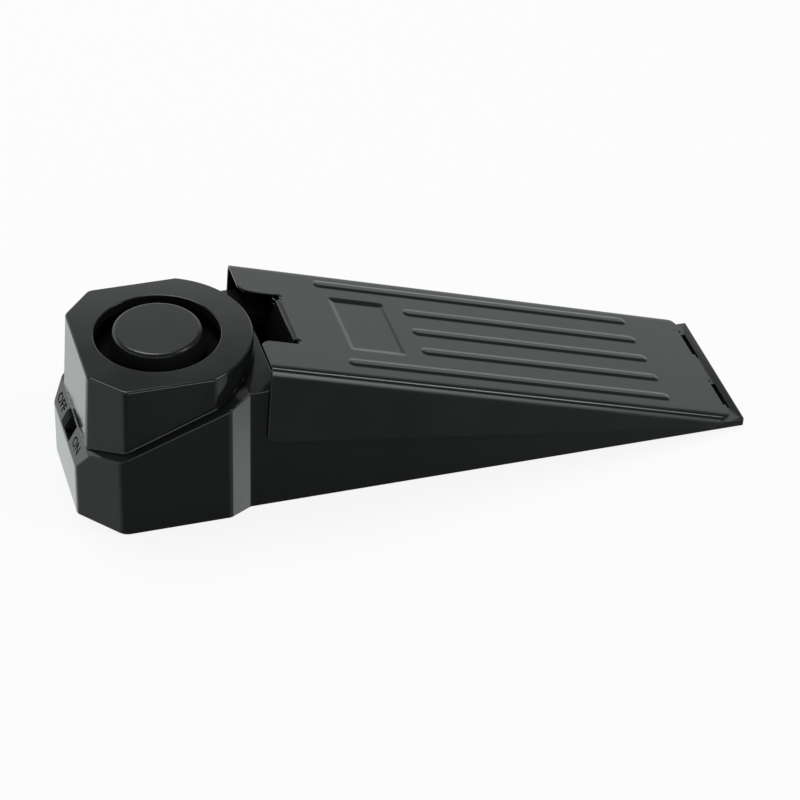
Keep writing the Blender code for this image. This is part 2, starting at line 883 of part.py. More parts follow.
def cut_deck_slots(base):
    """Openings of the deck for the tongue, the trip lever and the two hinge tabs."""
    tongue_station = hinge_station - (plate_length - notch_depth) * math.cos(plate_rest_angle)
    slot_rear = tongue_station - tongue_length * math.sin(plate_rest_angle) - tongue_slot_rear_gap
    half = tongue_width / 2 + 2 * seat_gap
    level = deck_height(tongue_station)
    cut(base, block(
        "tongue_slot",
        (along(slot_rear), -half, level - 2 * wall),
        (along(tongue_station - tongue_slot_front_gap + plate_sheet), half, level + overrun),
    ))
    lever_front = trip_switch_length / 2 - lever_axis_setback
    lever_half = lever_width / 2 + lever_slot_gap
    slot = block(
        "lever_slot",
        (lever_front - lever_length - 4 * lever_slot_gap, -lever_half, 0),
        (lever_front + 2 * lever_slot_gap, lever_half, wall + overrun),
    )
    cut(base, place(slot, switch_matrix))
    tab_front = hinge_station - tab_setback + tab_slot_front_gap
    tab_lean = tab_drop * math.sin(plate_rest_angle)
    tab_rear = hinge_station - tab_setback - plate_sheet - tab_lean - tab_slot_gap
    for side, name in ((1, "left"), (-1, "right")):
        near, far = sorted((
            side * (tab_inner_offset - tab_slot_gap / 2),
            side * (tab_outer_offset + tab_slot_gap / 2),
        ))
        cut(base, block(
            f"tab_slot_{name}",
            (along(tab_rear), near, base_bottom - overrun),
            (along(tab_front), far, tip_height + overrun),
        ))
        cut(base, block(
            f"tab_pocket_{name}",
            (along(tab_rear - tab_hook_length - tab_slot_gap), near, base_bottom - overrun),
            (along(tab_front), far, base_bottom + tab_pocket_height),
        ))


def cut_switch_slot(base):
    """The slot of the slider, through the shelf of the rear face."""
    slot = block(
        "switch_slot",
        (-slot_width / 2, -slot_height / 2, -2 * wall),
        (slot_width / 2, slot_height / 2, wall),
    )
    cut(base, place(slot, shelf_matrix))


def head_cover():
    """The upper half of the head: a drafted shell with the siren opening and four bosses."""
    cover = cover_body("head_cover", 0, cover_top_height, black_abs)
    bevel = cover.modifiers.new("edge_round", "BEVEL")
    bevel.width = cover_edge_round
    bevel.segments = 2
    bevel.limit_method = "ANGLE"
    bevel.angle_limit = math.radians(25)
    low_side = side_outline(overall_length, -overrun)
    below = prism("cover_foot", inset_outline(low_side, -seam_gap), -head_width, head_width, "XZ")
    cut(cover, cover_body("cover_cavity", wall, cover_top_height - wall))
    for side, name in ((1, "left"), (-1, "right")):
        for group, station, offset in (
            ("rear", rear_screw_station, rear_screw_offset),
            ("head", head_screw_station, head_screw_offset),
        ):
            low = ledge_height(station) - boss_wall
            top = cover_top_height - wall / 2
            outer, hole = boss(
                f"cover_{group}_{name}", station, side * offset,
                low, top, low - overrun, ledge_height(station) + screw_bite + seat_gap, pilot_hole_radius,
            )
            join(cover, outer)
            cut(cover, hole)
    trim(cover, cover_body("cover_skin", 0, cover_top_height + overrun))
    cut(cover, below)
    centre = (along(siren_centre), 0)
    cut(cover, rod(
        "siren_opening", siren_opening_radius,
        (*centre, cover_top_height - overrun), (*centre, cover_top_height + overrun), sides=round_sides,
    ))
    return cover


siren_ring_top = cover_top_height - siren_ring_drop
siren_ring_bottom = siren_ring_top - siren_ring_thickness
piezo_top = siren_ring_bottom - seam_gap
piezo_bottom = piezo_top - piezo_thickness
piezo_seat = piezo_bottom - seam_gap


def sounder_cup():
    """The holder under the siren opening, with the diaphragm's seat and a vent in its floor."""
    seat_radius = cup_inner_radius - piezo_seat_width
    profile = [
        (cup_outer_radius, cup_top),
        (cup_outer_radius, cup_bottom),
        (cup_vent_radius, cup_bottom),
        (cup_vent_radius, cup_bottom + cup_wall),
        (seat_radius, cup_bottom + cup_wall),
        (seat_radius, piezo_seat),
        (cup_inner_radius, piezo_seat),
        (cup_inner_radius, cup_top),
    ]
    return turned("sounder_cup", profile, (along(siren_centre), 0, 0), black_abs)


def siren_cap():
    """The round cap on three legs, which stand on a ring that holds the diaphragm down."""
    top = cover_top_height + siren_cap_proud
    low = top - siren_cap_thickness
    edge = siren_cap_proud
    rounded = arc((siren_cap_radius - edge, top - edge), edge, math.pi / 2, 0, corner_steps)
    profile = [(0, top), *rounded, (siren_cap_radius, low), (0, low)]
    cap = turned("siren_cap", profile, (along(siren_centre), 0, 0), black_abs)
    ring_outer = cup_inner_radius - seat_gap
    ring_inner = siren_cap_radius - siren_leg_width
    ring = turned(
        "siren_ring",
        [(ring_outer, siren_ring_top), (ring_outer, siren_ring_bottom),
         (ring_inner, siren_ring_bottom), (ring_inner, siren_ring_top)],
        (along(siren_centre), 0, 0),
    )
    join(cap, ring)
    for number in range(siren_leg_count):
        turn = Matrix.Rotation(2 * math.pi * number / siren_leg_count, 4, "Z")
        leg = block(
            f"siren_leg_{number}",
            (siren_cap_radius - siren_leg_width, -siren_leg_width / 2,
             siren_ring_bottom + siren_ring_thickness / 2),
            (siren_cap_radius - siren_leg_width / 4, siren_leg_width / 2, low + siren_cap_thickness / 4),
        )
        join(cap, place(leg, Matrix.Translation((along(siren_centre), 0, 0)) @ turn))
    return cap


def sounder():
    """The brass diaphragm and its ceramic disc."""
    centre = (along(siren_centre), 0)
    radius = cup_inner_radius - seat_gap
    rod("piezo_plate", radius, (*centre, piezo_bottom), (*centre, piezo_top), brass, round_sides)
    low = piezo_bottom - seam_gap - ceramic_thickness
    rod("piezo_ceramic", ceramic_radius, (*centre, low), (*centre, low + ceramic_thickness),
        ceramic_white, disc_sides)


def plate_plan():
    """Plan outline of the plate in its flat frame, x forwards from the hinge axis."""
    half_width = base_width / 2 + seat_gap + plate_sheet
    rear = -plate_length
    bend = rear + notch_depth
    rounded_tip = arc((-plate_corner_radius, half_width - plate_corner_radius), plate_corner_radius,
                      0, math.pi / 2, corner_steps)
    rounded_notch = arc((rear + notch_corner_radius, notch_width / 2 + notch_corner_radius),
                        notch_corner_radius, math.pi, 1.5 * math.pi, corner_steps)
    half = [
        (0, tab_inner_offset - tab_slot_gap / 2),
        (-tab_setback, tab_inner_offset - tab_slot_gap / 2),
        (-tab_setback, tab_outer_offset + tab_slot_gap / 2),
        (0, tab_outer_offset + tab_slot_gap / 2),
        *rounded_tip,
        (rear, half_width),
        *rounded_notch,
        (bend + tongue_relief, notch_width / 2),
        (bend + tongue_relief, tongue_width / 2),
        (bend, tongue_width / 2),
    ]
    return half + [(x, -y) for x, y in reversed(half)]


def plate_side():
    """Side outline of the plate in its flat frame: its top and the tapered flanges."""
    top = plate_rise
    corners = [
        (-plate_length, top),
        (-plate_length + flange_rear_inset, top - flange_rear_drop),
        (-flange_tip_inset, top - flange_tip_drop),
        (0, top - plate_sheet - plate_bend_radius),
        (0, top),
    ]
    made = [corners[0]]
    for before, corner, after in zip(corners, corners[1:3], corners[2:4]):
        corner = Vector(corner)
        back = (Vector(before) - corner).normalized()
        ahead = (Vector(after) - corner).normalized()
        made.extend(corner_arc(corner, back, ahead, flange_corner_radius, corner_steps))
    return made + corners[3:]


def channel(name, inset, finish=None):
    """The folded section of the plate along its length: a flat top and two sides with round bends."""
    half_width = base_width / 2 + seat_gap + plate_sheet - inset
    top = plate_rise - inset
    radius = plate_bend_radius - inset
    low = plate_rise - flange_rear_drop - overrun
    section = [
        (-half_width, low),
        (half_width, low),
        *arc((half_width - radius, top - radius), radius, 0, math.pi / 2, corner_steps),
        *arc((radius - half_width, top - radius), radius, math.pi / 2, math.pi, corner_steps),
    ]
    bm = bmesh.new()
    face = bm.faces.new([bm.verts.new((-plate_length - overrun, y, z)) for y, z in section])
    grown = bmesh.ops.extrude_face_region(bm, geom=[face])
    moved = [item for item in grown["geom"] if isinstance(item, bmesh.types.BMVert)]
    bmesh.ops.translate(bm, vec=(plate_length + 2 * overrun, 0, 0), verts=moved)
    return keep_mesh(name, bm, finish)


def stadium(low_x, high_x, half_width, middle_y):
    """A slot-shaped outline along X."""
    front = arc((high_x - half_width, middle_y), half_width, -math.pi / 2, math.pi / 2, rib_end_steps)
    rear = arc((low_x + half_width, middle_y), half_width, math.pi / 2, 1.5 * math.pi, rib_end_steps)
    return front + rear


def pressure_plate():
    """The pressed steel plate, folded from one sheet, hinged by its two tabs at the tip."""
    plate = channel("pressure_plate", 0, black_steel)
    tools = []
    depth = flange_rear_drop + 2 * overrun
    plan = prism("plate_plan", plate_plan(), plate_rise - depth, plate_rise + overrun)
    side = prism("plate_side", plate_side(), -head_width, head_width, "XZ")
    inside = channel("plate_inside", plate_sheet)
    tools += [plan, side, inside]
    trim(plate, plan, side)
    cut(plate, inside)
    for number in range(-2, 3):
        outer_rib = abs(number) == 2
        rear = -(long_rib_rear if outer_rib else short_rib_rear)
        middle = number * rib_pitch
        crest = (rib_width - rib_crest_width) / 2
        rib = loft(
            f"rib_{number + 2}",
            stadium(rear, -rib_front, rib_width / 2, middle), plate_rise - plate_sheet / 2,
            stadium(rear + crest, -rib_front - crest, rib_crest_width / 2, middle), plate_rise + rib_height,
        )
        groove = loft(
            f"rib_groove_{number + 2}",
            stadium(rear + crest / 2, -rib_front - crest / 2, rib_groove_width / 2, middle),
            plate_rise - 2 * plate_sheet,
            stadium(rear + crest, -rib_front - crest, rib_groove_crest_width / 2, middle),
            plate_rise - plate_sheet + rib_height,
        )
        join(plate, rib)
        cut(plate, groove)
        tools += [rib, groove]
    tools += add_panel(plate)
    tools += add_tongue_and_tabs(plate)
    for tool in tools:
        place(tool, plate_matrix)
    place(plate, plate_matrix)
    return plate


def add_panel(plate):
    """The shallow pressed panel: sunk on top and standing out as much below."""
    floor_rear = -panel_rear + panel_slope_width
    floor_front = -panel_front - panel_slope_width
    half = panel_width / 2
    rim = rounded_outline(rectangle(-panel_rear, -panel_front, half), panel_corner_radius)
    floor_outline = rounded_outline(
        rectangle(floor_rear, floor_front, half - panel_slope_width), panel_corner_radius,
    )
    below = loft("panel_below", floor_outline, plate_rise - plate_sheet - panel_depth,
                 rim, plate_rise - plate_sheet / 2)
    sunk = loft("panel_sunk", floor_outline, plate_rise - panel_depth, rim, plate_rise + merge_distance)
    join(plate, below)
    cut(plate, sunk)
    return [below, sunk]


def add_tongue_and_tabs(plate):
    """The tongue, which hooks under the deck, and the two hinge tabs, which hook under the tip."""
    top = plate_rise
    bend = -plate_length + notch_depth
    root = bend + tongue_relief + 2 * plate_bend_radius
    tongue_path = [
        (root, top),
        (bend, top),
        (bend, top - tongue_length),
        (bend + tongue_hook_length, top - tongue_length),
    ]
    tongue = prism("tongue", strip_outline(tongue_path, plate_bend_radius, plate_sheet),
                   -tongue_width / 2, tongue_width / 2, "XZ")
    join(plate, tongue)
    made = [tongue]
    front = -tab_setback
    slope = math.tan(plate_rest_angle)
    tab_path = [
        (front - 2 * plate_bend_radius, top),
        (front, top),
        (front, top - plate_sheet - tab_drop),
        (front - plate_sheet - tab_hook_length, top - plate_sheet - tab_drop - slope * tab_hook_length),
    ]
    mirrored = [(-x, z) for x, z in tab_path]
    outline = [(-x, z) for x, z in strip_outline(mirrored, tab_bend_radius, plate_sheet)]
    for side, name in ((1, "left"), (-1, "right")):
        near, far = sorted((side * tab_inner_offset, side * tab_outer_offset))
        tab = prism(f"tab_{name}", outline, near, far, "XZ")
        join(plate, tab)
        made.append(tab)
    return made


def return_springs():
    """Two coil springs that stand in the wells of the deck and lift the plate."""
    low = spring_well_floor() + seat_gap + spring_wire / 2
    under = plate_height(spring_station + spring_radius, plate_rest_angle, plate_sheet)
    high = under - seat_gap - spring_wire
    count = spring_turns * spring_turn_points
    flat_share = 1 / spring_turns
    for side, name in ((1, "left"), (-1, "right")):
        points = []
        for step in range(count + 1):
            share = step / count
            turn = 2 * math.pi * spring_turns * share
            climb = min(max((share - flat_share / 2) / (1 - flat_share), 0), 1)
            points.append(Vector((
                along(spring_station) + spring_radius * math.cos(turn),
                side * spring_offset + spring_radius * math.sin(turn),
                low + (high - low) * climb,
            )))
        tube(f"return_spring_{name}", points, spring_wire / 2, spring_steel)
        gap = least_gap(points, spring_turn_points, spring_wire)
        print(f"return_spring_{name}: least gap between turns {gap:.5f} m")


def least_gap(points, turn_points, diameter):
    """The least clear distance between one turn of a coil and the next ones."""
    apart = turn_points - 1
    return min(
        (points[far] - points[near]).length
        for near in range(len(points)) for far in range(near + apart, len(points))
    ) - diameter


def bottom_cover():
    """The flat cover that closes the housing from below, with the battery door's opening."""
    front = overall_length - cover_front_gap
    outline = inset_outline(plan_outline(front + cover_rim), cover_rim + seat_gap)
    cover = prism("bottom_cover", outline, base_bottom, bottom_cover_top, "XY", black_abs)
    low_x, high_x, half = door_opening()
    cut(cover, block(
        "door_opening",
        (along(low_x), -half, base_bottom - overrun), (along(high_x), half, bottom_cover_top + overrun),
    ))
    for station, offset in cover_screws():
        for side in (1, -1):
            centre = (along(station), side * offset)
            cut(cover, rod(
                f"cover_hole_{station:.4f}_{side}", clearance_hole_radius,
                (*centre, base_bottom - overrun), (*centre, bottom_cover_top + overrun),
            ))
            cut(cover, rod(
                f"cover_sink_{station:.4f}_{side}", screw_head_radius + screw_hole_clearance,
                (*centre, base_bottom - overrun),
                (*centre, bottom_cover_top - cover_plate_thickness / 3 + seat_gap),
            ))
    for name, low, high, half_width in pads():
        recess = pad_outline(low, high, half_width, seat_gap)
        cut(cover, prism(f"{name}_recess", recess, base_bottom - overrun, pad_thickness + seam_gap))
    return cover


def cover_screws():
    """Stations and offsets of the screws that hold the bottom cover."""
    return (
        (rear_screw_station, rear_screw_offset),
        (middle_screw_station, middle_screw_offset),
        (tip_screw_station, tip_screw_offset),
    )


def door_opening():
    """Stations and half width of the battery door's opening."""
    half = battery_width / 2 + door_side_margin
    return battery_rear - door_rear_margin, battery_front + door_front_margin, half


def pads():
    """Name, stations and half width of each rubber pad."""
    low_x, high_x, _ = door_opening()
    head = screw_head_radius + screw_hole_clearance + pad_margin / 2
    rear_half = rear_screw_offset - head
    front_low = high_x + pad_margin
    front_high = overall_length - cover_front_gap - pad_margin
    tip_half = tip_screw_offset - head
    front_middle = middle_screw_station + head
    tip_start = tip_screw_station - head
    return (
        ("rear_pad", pad_margin, low_x - pad_margin, rear_half),
        ("front_pad", front_middle, tip_start, base_width / 2 - pad_margin),
        ("tip_pad", tip_start + pad_margin, front_high, tip_half),
    )


def pad_outline(low, high, half_width, gap=0):
    """Rounded outline of a pad, or of its recess with a gap all round."""
    corners = rectangle(along(low - gap), along(high + gap), half_width + gap)
    return rounded_outline(corners, min(pad_corner_radius, half_width - seam_gap))


def rubber_pads():
    """Non-slip pads glued into recesses of the bottom cover, standing a little proud of it."""
    for name, low, high, half_width in pads():
        prism(name, pad_outline(low, high, half_width), 0, pad_thickness, "XY", black_rubber)


def battery_door():
    """The battery door: hooks at its front end, on whose lower edge it swings, and a latch at the rear."""
    low_x, high_x, half = door_opening()
    rear = low_x + door_edge_gap
    front = high_x - door_edge_gap
    swing_line = Vector((along(front), 0, base_bottom))
    door = block(
        "battery_door",
        Vector((along(rear), door_edge_gap - half, base_bottom)) - swing_line,
        Vector((along(front), half - door_edge_gap, bottom_cover_top)) - swing_line, black_abs,
    )
    door.location = swing_line
    hook_rear = front - 3 * door_hook_length / 2
    hook_low = bottom_cover_top + seat_gap
    for side, name in ((1, "left"), (-1, "right")):
        middle = side * door_hook_spacing / 2
        join(door, block(
            f"door_hook_{name}",
            (along(hook_rear), middle - door_hook_width / 2, hook_low),
            (along(high_x + door_hook_length), middle + door_hook_width / 2, hook_low + door_hook_thickness),
        ))
        join(door, block(
            f"door_hook_foot_{name}",
            (along(hook_rear), middle - door_hook_width / 2, base_bottom + seat_gap),
            (along(front - door_hook_length / 2), middle + door_hook_width / 2,
             hook_low + door_hook_thickness / 2),
        ))
    latch = block(
        "door_latch",
        (along(rear + seat_gap), -door_latch_width / 2, base_bottom + seat_gap),
        (along(rear + seat_gap + door_latch_thickness), door_latch_width / 2,
         bottom_cover_top + door_latch_height),
    )
    join(door, latch)
    grip = rounded_outline(
        rectangle(along(rear + 2 * wall), along(rear + 3 * wall), door_latch_width), wall / 3,
    )
    cut(door, prism("door_grip", grip, base_bottom - overrun, base_bottom + cover_plate_thickness / 2))
    return door


def battery():
    """The 9 V block with its two studs at the rear end."""
    half = battery_width / 2
    outline = rounded_outline(
        [(-half, 0), (half, 0), (half, battery_thickness), (-half, battery_thickness)],
        battery_corner_radius,
    )
    bm = bmesh.new()
    face = bm.faces.new([bm.verts.new((along(battery_rear), y, battery_bottom + z)) for y, z in outline])
    grown = bmesh.ops.extrude_face_region(bm, geom=[face])
    moved = [item for item in grown["geom"] if isinstance(item, bmesh.types.BMVert)]
    bmesh.ops.translate(bm, vec=(battery_length, 0, 0), verts=moved)
    body = keep_mesh("battery", bm, battery_wrap)
    middle = battery_bottom + battery_thickness / 2
    for name, side, radius in (("plus", 1, male_stud_radius), ("minus", -1, female_stud_radius)):
        y = side * stud_spacing / 2
        join(body, rod(
            f"stud_{name}", radius,
            (along(battery_rear + boss_wall), y, middle), (along(battery_rear - stud_height), y, middle),
        ))
    return body


def battery_snap():
    """The snap connector on the studs: a strip with round ends and a cup for each stud."""
    front = battery_rear - stud_height + snap_recess_depth - seat_gap
    rear = front - snap_thickness
    middle = battery_bottom + battery_thickness / 2
    half_length = snap_length / 2
    half_width = snap_width / 2
    outline = rounded_outline(
        [(-half_length, -half_width), (half_length, -half_width),
         (half_length, half_width), (-half_length, half_width)], snap_corner_radius,
    )
    bm = bmesh.new()
    face = bm.faces.new([bm.verts.new((along(rear), y, middle + z)) for y, z in outline])
    grown = bmesh.ops.extrude_face_region(bm, geom=[face])
    moved = [item for item in grown["geom"] if isinstance(item, bmesh.types.BMVert)]
    bmesh.ops.translate(bm, vec=(snap_thickness, 0, 0), verts=moved)
    snap = keep_mesh("battery_snap", bm, black_vinyl)
    for name, side, radius in (("plus", 1, male_stud_radius), ("minus", -1, female_stud_radius)):
        y = side * stud_spacing / 2
        cut(snap, rod(
            f"snap_cup_{name}", radius + seat_gap,
            (along(front - snap_recess_depth), y, middle), (along(front + overrun), y, middle),
        ))
    return snap


def circuit_board():
    """The circuit board over the battery, with its two screw holes."""
    half = board_width / 2
    low = board_height
    board = block(
        "circuit_board", (along(board_rear), -half, low),
        (along(board_front), half, low + board_thickness), board_green,
    )
    for side, name in ((1, "left"), (-1, "right")):
        centre = (along(board_front - board_post_setback / 2), side * board_post_offset)
        cut(board, rod(f"board_hole_{name}", clearance_hole_radius,
                       (*centre, low - overrun), (*centre, low + overrun)))
    return board


def board_parts():
    """The components on top of the circuit board."""
    base = board_height + board_thickness + seam_gap
    length = board_front - board_rear

    def spot(shares):
        return along(board_rear + shares[0] * length), shares[1] * board_width / 2

    x, y = spot(coil_spot_shares)
    flange = coil_height / 5
    turned("step_up_coil", [
        (0, base + coil_height), (coil_radius, base + coil_height),
        (coil_radius, base + coil_height - flange), (coil_waist_radius, base + coil_height - flange),
        (coil_waist_radius, base + flange), (coil_radius, base + flange), (coil_radius, base), (0, base),
    ], (x, y, 0), ferrite, coil_sides)
    component("alarm_chip", *spot(chip_spot_shares), chip_length, chip_width, chip_height, chip_black)
    component("driver_transistor", *spot(transistor_spot_shares), transistor_length, transistor_width,
              transistor_height, chip_black)
    for name, shares in (
        ("resistor_rear", rear_resistor_spot_shares), ("resistor_front", front_resistor_spot_shares),
    ):
        component(name, *spot(shares), resistor_length, resistor_width, resistor_height, chip_black)
    x, y = spot(capacitor_spot_shares)
    rod("smoothing_capacitor", capacitor_radius,
        (x, y - capacitor_length / 2, base + capacitor_radius),
        (x, y + capacitor_length / 2, base + capacitor_radius), zinc_steel, capacitor_sides)


def component(name, x, y, length, width, height, finish):
    """A flat rectangular component with a bevelled top, standing on the board."""
    base = board_height + board_thickness + seam_gap
    edge = height / 5
    low = [(x + u, y + v) for u, v in rectangle(-length / 2, length / 2, width / 2)]
    high = inset_outline(low, edge)
    return loft(name, low, base, high, base + height, finish)


def slide_switch():
    """The slide switch: its case behind the shelf, and the slider that stands in the slot."""
    front = -wall - seat_gap
    case = block(
        "slide_switch_case",
        (-switch_case_width / 2, -switch_case_height / 2, front - switch_case_depth),
        (switch_case_width / 2, switch_case_height / 2, front), black_abs,
    )
    cavity_half = (slider_base_width + slider_travel) / 2 + seat_gap
    cavity_low = front - switch_case_wall - slider_base_thickness - 2 * seat_gap
    cavity = block(
        "switch_cavity",
        (-cavity_half, -slider_base_height / 2 - seat_gap, cavity_low),
        (cavity_half, slider_base_height / 2 + seat_gap, front - switch_case_wall),
    )
    mouth_half = (knob_width + slider_travel) / 2 + seat_gap
    mouth = block(
        "switch_mouth",
        (-mouth_half, -knob_height / 2 - seat_gap, cavity_low + seat_gap),
        (mouth_half, knob_height / 2 + seat_gap, front + overrun),
    )
    cut(case, place(cavity, shelf_matrix), place(mouth, shelf_matrix))
    place(case, shelf_matrix)
    slider_top = front - switch_case_wall - seat_gap
    middle = -slider_travel / 2
    slider_matrix = shelf_matrix @ Matrix.Translation((middle, 0, 0))
    slider = block(
        "switch_slider",
        (-knob_width / 2, -knob_height / 2, slider_top - slider_base_thickness / 2),
        (knob_width / 2, knob_height / 2, knob_proud), black_abs,
    )
    foot = block(
        "slider_foot",
        (-slider_base_width / 2, -slider_base_height / 2, slider_top - slider_base_thickness),
        (slider_base_width / 2, slider_base_height / 2, slider_top),
    )
    join(slider, place(foot, slider_matrix))
    place(slider, slider_matrix)


def trip_switch():
    """The lever switch under the deck: case, button and lever."""
    half = trip_switch_length / 2
    case = block(
        "trip_switch_case",
        (-half, -trip_switch_width / 2, -trip_switch_height),
        (half, trip_switch_width / 2, 0), chip_black,
    )
    for side, name in ((1, "front"), (-1, "rear")):
        middle = Vector((side * trip_pin_spacing / 2, 0, -trip_pin_depth))
        reach = Vector((0, trip_switch_width, 0))
        hole_radius = trip_pin_radius + trip_pin_clearance
        hole = rod(f"switch_hole_{name}", hole_radius, middle - reach, middle + reach)
        cut(case, place(hole, switch_matrix))
    button_x = half - button_setback
    well = rod(
        "button_well", button_radius + seam_gap,
        (button_x, 0, -button_depth - button_travel - seat_gap), (button_x, 0, overrun),
    )
    cut(case, place(well, switch_matrix))
    place(case, switch_matrix)
    button_near = button_setback - lever_axis_setback - button_radius
    lever_low = lever_axis_rise - lever_thickness / 2 / math.cos(lever_rest_angle)
    button_top = lever_low + button_near * math.tan(lever_rest_angle) - seam_gap / 2
    button = rod("trip_button", button_radius, (0, 0, -button_depth), (0, 0, button_top), zinc_steel)
    place(button, switch_matrix @ Matrix.Translation((button_x, 0, 0)))
    axis_place = Matrix.Translation((half - lever_axis_setback, 0, lever_axis_rise))
    lever_matrix = switch_matrix @ axis_place @ Matrix.Rotation(lever_rest_angle, 4, "Y")
    lever = block(
        "trip_lever",
        (-lever_length, -lever_width / 2, -lever_thickness / 2),
        (0, lever_width / 2, lever_thickness / 2), spring_steel,
    )
    curl = rod(
        "lever_curl", lever_curl_radius,
        (-lever_length, -lever_width / 2, 0), (-lever_length, lever_width / 2, 0), sides=curl_sides,
    )
    join(lever, place(curl, lever_matrix))
    place(lever, lever_matrix)


def lead(name, route, finish):
    """One insulated wire along a smooth route of stations, offsets and heights."""
    knots = [(along(station), offset, height) for station, offset, height in route]
    tube(name, smooth_route(knots), lead_radius, finish)


def leads():
    """The wires from the board to the battery snap, the sounder, the slide switch and the trip switch."""
    under_board = board_height - seat_gap
    on_board = board_height + board_thickness + seat_gap
    snap_back = battery_rear - stud_height + snap_recess_depth - snap_thickness - 2 * seat_gap
    snap_middle = battery_bottom + battery_thickness / 2
    rise = snap_back - 2 * lead_radius
    for name, side, finish in (("red", 1, red_vinyl), ("black", -1, black_vinyl)):
        y = side * stud_spacing / 3
        lead(f"battery_lead_{name}", [
            (snap_back, y, snap_middle), (rise + lead_radius / 2, y, snap_middle + lead_radius),
            (rise, y, snap_middle + 3 * lead_radius),
            (rise, y, (snap_middle + under_board) / 2 + lead_radius),
            (rise, y, under_board),
        ], finish)
    floor_top = cup_bottom + cup_wall
    inside = (floor_top + piezo_bottom) / 2 - seam_gap
    aside = cup_vent_radius - lead_radius - seam_gap
    ceramic_under = piezo_bottom - seam_gap - ceramic_thickness - seat_gap
    lead("sounder_lead_red", [
        (siren_centre - aside, 0, on_board), (siren_centre - aside, 0, (on_board + cup_bottom) / 2),
        (siren_centre - aside, 0, cup_bottom), (siren_centre - aside, 0, ceramic_under),
    ], red_vinyl)
    lead("sounder_lead_black", [
        (siren_centre + aside, 0, on_board), (siren_centre + aside, 0, (on_board + cup_bottom) / 2),
        (siren_centre + aside, 0, floor_top - lead_radius),
        (siren_centre + aside + 2 * lead_radius, 0, inside),
        (siren_centre + ceramic_radius - 2 * lead_radius, 0, inside),
        (siren_centre + ceramic_radius + lead_radius, 0, inside + lead_radius / 2),
        (siren_centre + ceramic_radius + 1.5 * lead_radius, 0, piezo_bottom - seat_gap),
    ], black_vinyl)
    back = shelf_matrix @ Vector((0, 0, -wall - 2 * seat_gap - switch_case_depth))
    back_station = back.x - rear_x
    for name, side in (("left", 1), ("right", -1)):
        y = side * switch_case_width / 4
        lead(f"switch_lead_{name}", [
            (back_station, y, back.z), (back_station + 2 * lead_radius, y, back.z + lead_radius),
            (board_rear - 3 * lead_radius, y, board_height - 4 * lead_radius),
            (board_rear - 2 * lead_radius, y, on_board), (board_rear, y, on_board + 2 * lead_radius),
            (board_rear + 2 * lead_radius, y, on_board + lead_radius),
            (board_rear + 2.5 * lead_radius, y, on_board),
        ], white_vinyl)
    trip_leads(on_board)


def trip_leads(on_board):
    """The two wires of the trip switch, one down each side of the battery."""
    end = switch_matrix @ Vector((-trip_switch_length / 2 - seat_gap, 0, -trip_switch_height / 2))
    start = end.x - rear_x
    side_way = (battery_width / 2 + base_width / 2 - wall) / 2
    level = bottom_cover_top + seat_gap + battery_rib_height + 2 * lead_radius
    board_way = board_front - board_post_setback / 2 - board_post_radius - 2 * lead_radius
    corner = battery_front + 4 * lead_radius
    for name, side in (("left", 1), ("right", -1)):
        lead(f"trip_lead_{name}", [
            (start, side * trip_switch_width / 4, end.z),
            (start - 2 * lead_radius, side * trip_switch_width / 3, end.z + lead_radius),
            (corner, side * side_way / 2, level), (battery_front - lead_radius, side * side_way, level),
            (battery_front - battery_length / 5, side * side_way, level),
            ((battery_front + board_way) / 2, side * side_way, level),
            (board_way + battery_length / 8, side * side_way, level),
            (board_way + 2 * lead_radius, side * side_way, level + 2 * lead_radius),
            (board_way, side * (board_width / 2 + 3 * lead_radius), board_height - lead_radius),
            (board_way, side * (board_width / 2 + lead_radius), on_board + 1.5 * lead_radius),
            (board_way, side * (board_width / 2 - lead_radius), on_board + lead_radius),
            (board_way, side * (board_width / 2 - 2 * lead_radius), on_board),
        ], white_vinyl)


def screws():
    """All screws: the bottom cover's, the head's and the circuit board's."""
    seat = bottom_cover_top - cover_plate_thickness / 3
    rear_length = rear_screw_top - seat
    middle_length = 2 * screw_bite
    tip_length = tip_boss_top - wall - seat
    head_length = 2 * screw_bite - seat_gap
    for side, name in ((1, "left"), (-1, "right")):
        for group, station, offset, height, length in (
            ("rear", rear_screw_station, rear_screw_offset, seat, rear_length),
            ("middle", middle_screw_station, middle_screw_offset, seat, middle_length),
            ("tip", tip_screw_station, tip_screw_offset, seat, tip_length),
            ("head", head_screw_station, head_screw_offset, head_screw_seat - seat_gap, head_length),
            ("board", board_front - board_post_setback / 2, board_post_offset,
             board_height - seat_gap, board_screw_length),
        ):
            screw_body(f"{group}_screw_{name}", (along(station), side * offset, height), length)


base_housing()
head_cover()
sounder_cup()
siren_cap()
sounder()
pressure_plate()
return_springs()
bottom_cover()
rubber_pads()
battery_door()
battery()
battery_snap()
circuit_board()
board_parts()
slide_switch()
trip_switch()
leads()
screws()
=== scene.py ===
"""Door stop alarm: a black moulded wedge with a siren head, and a sprung plate that sets it off."""

import json
import math
from functools import partial
from types import SimpleNamespace

import bmesh
import bpy
from mathutils import Matrix, Vector


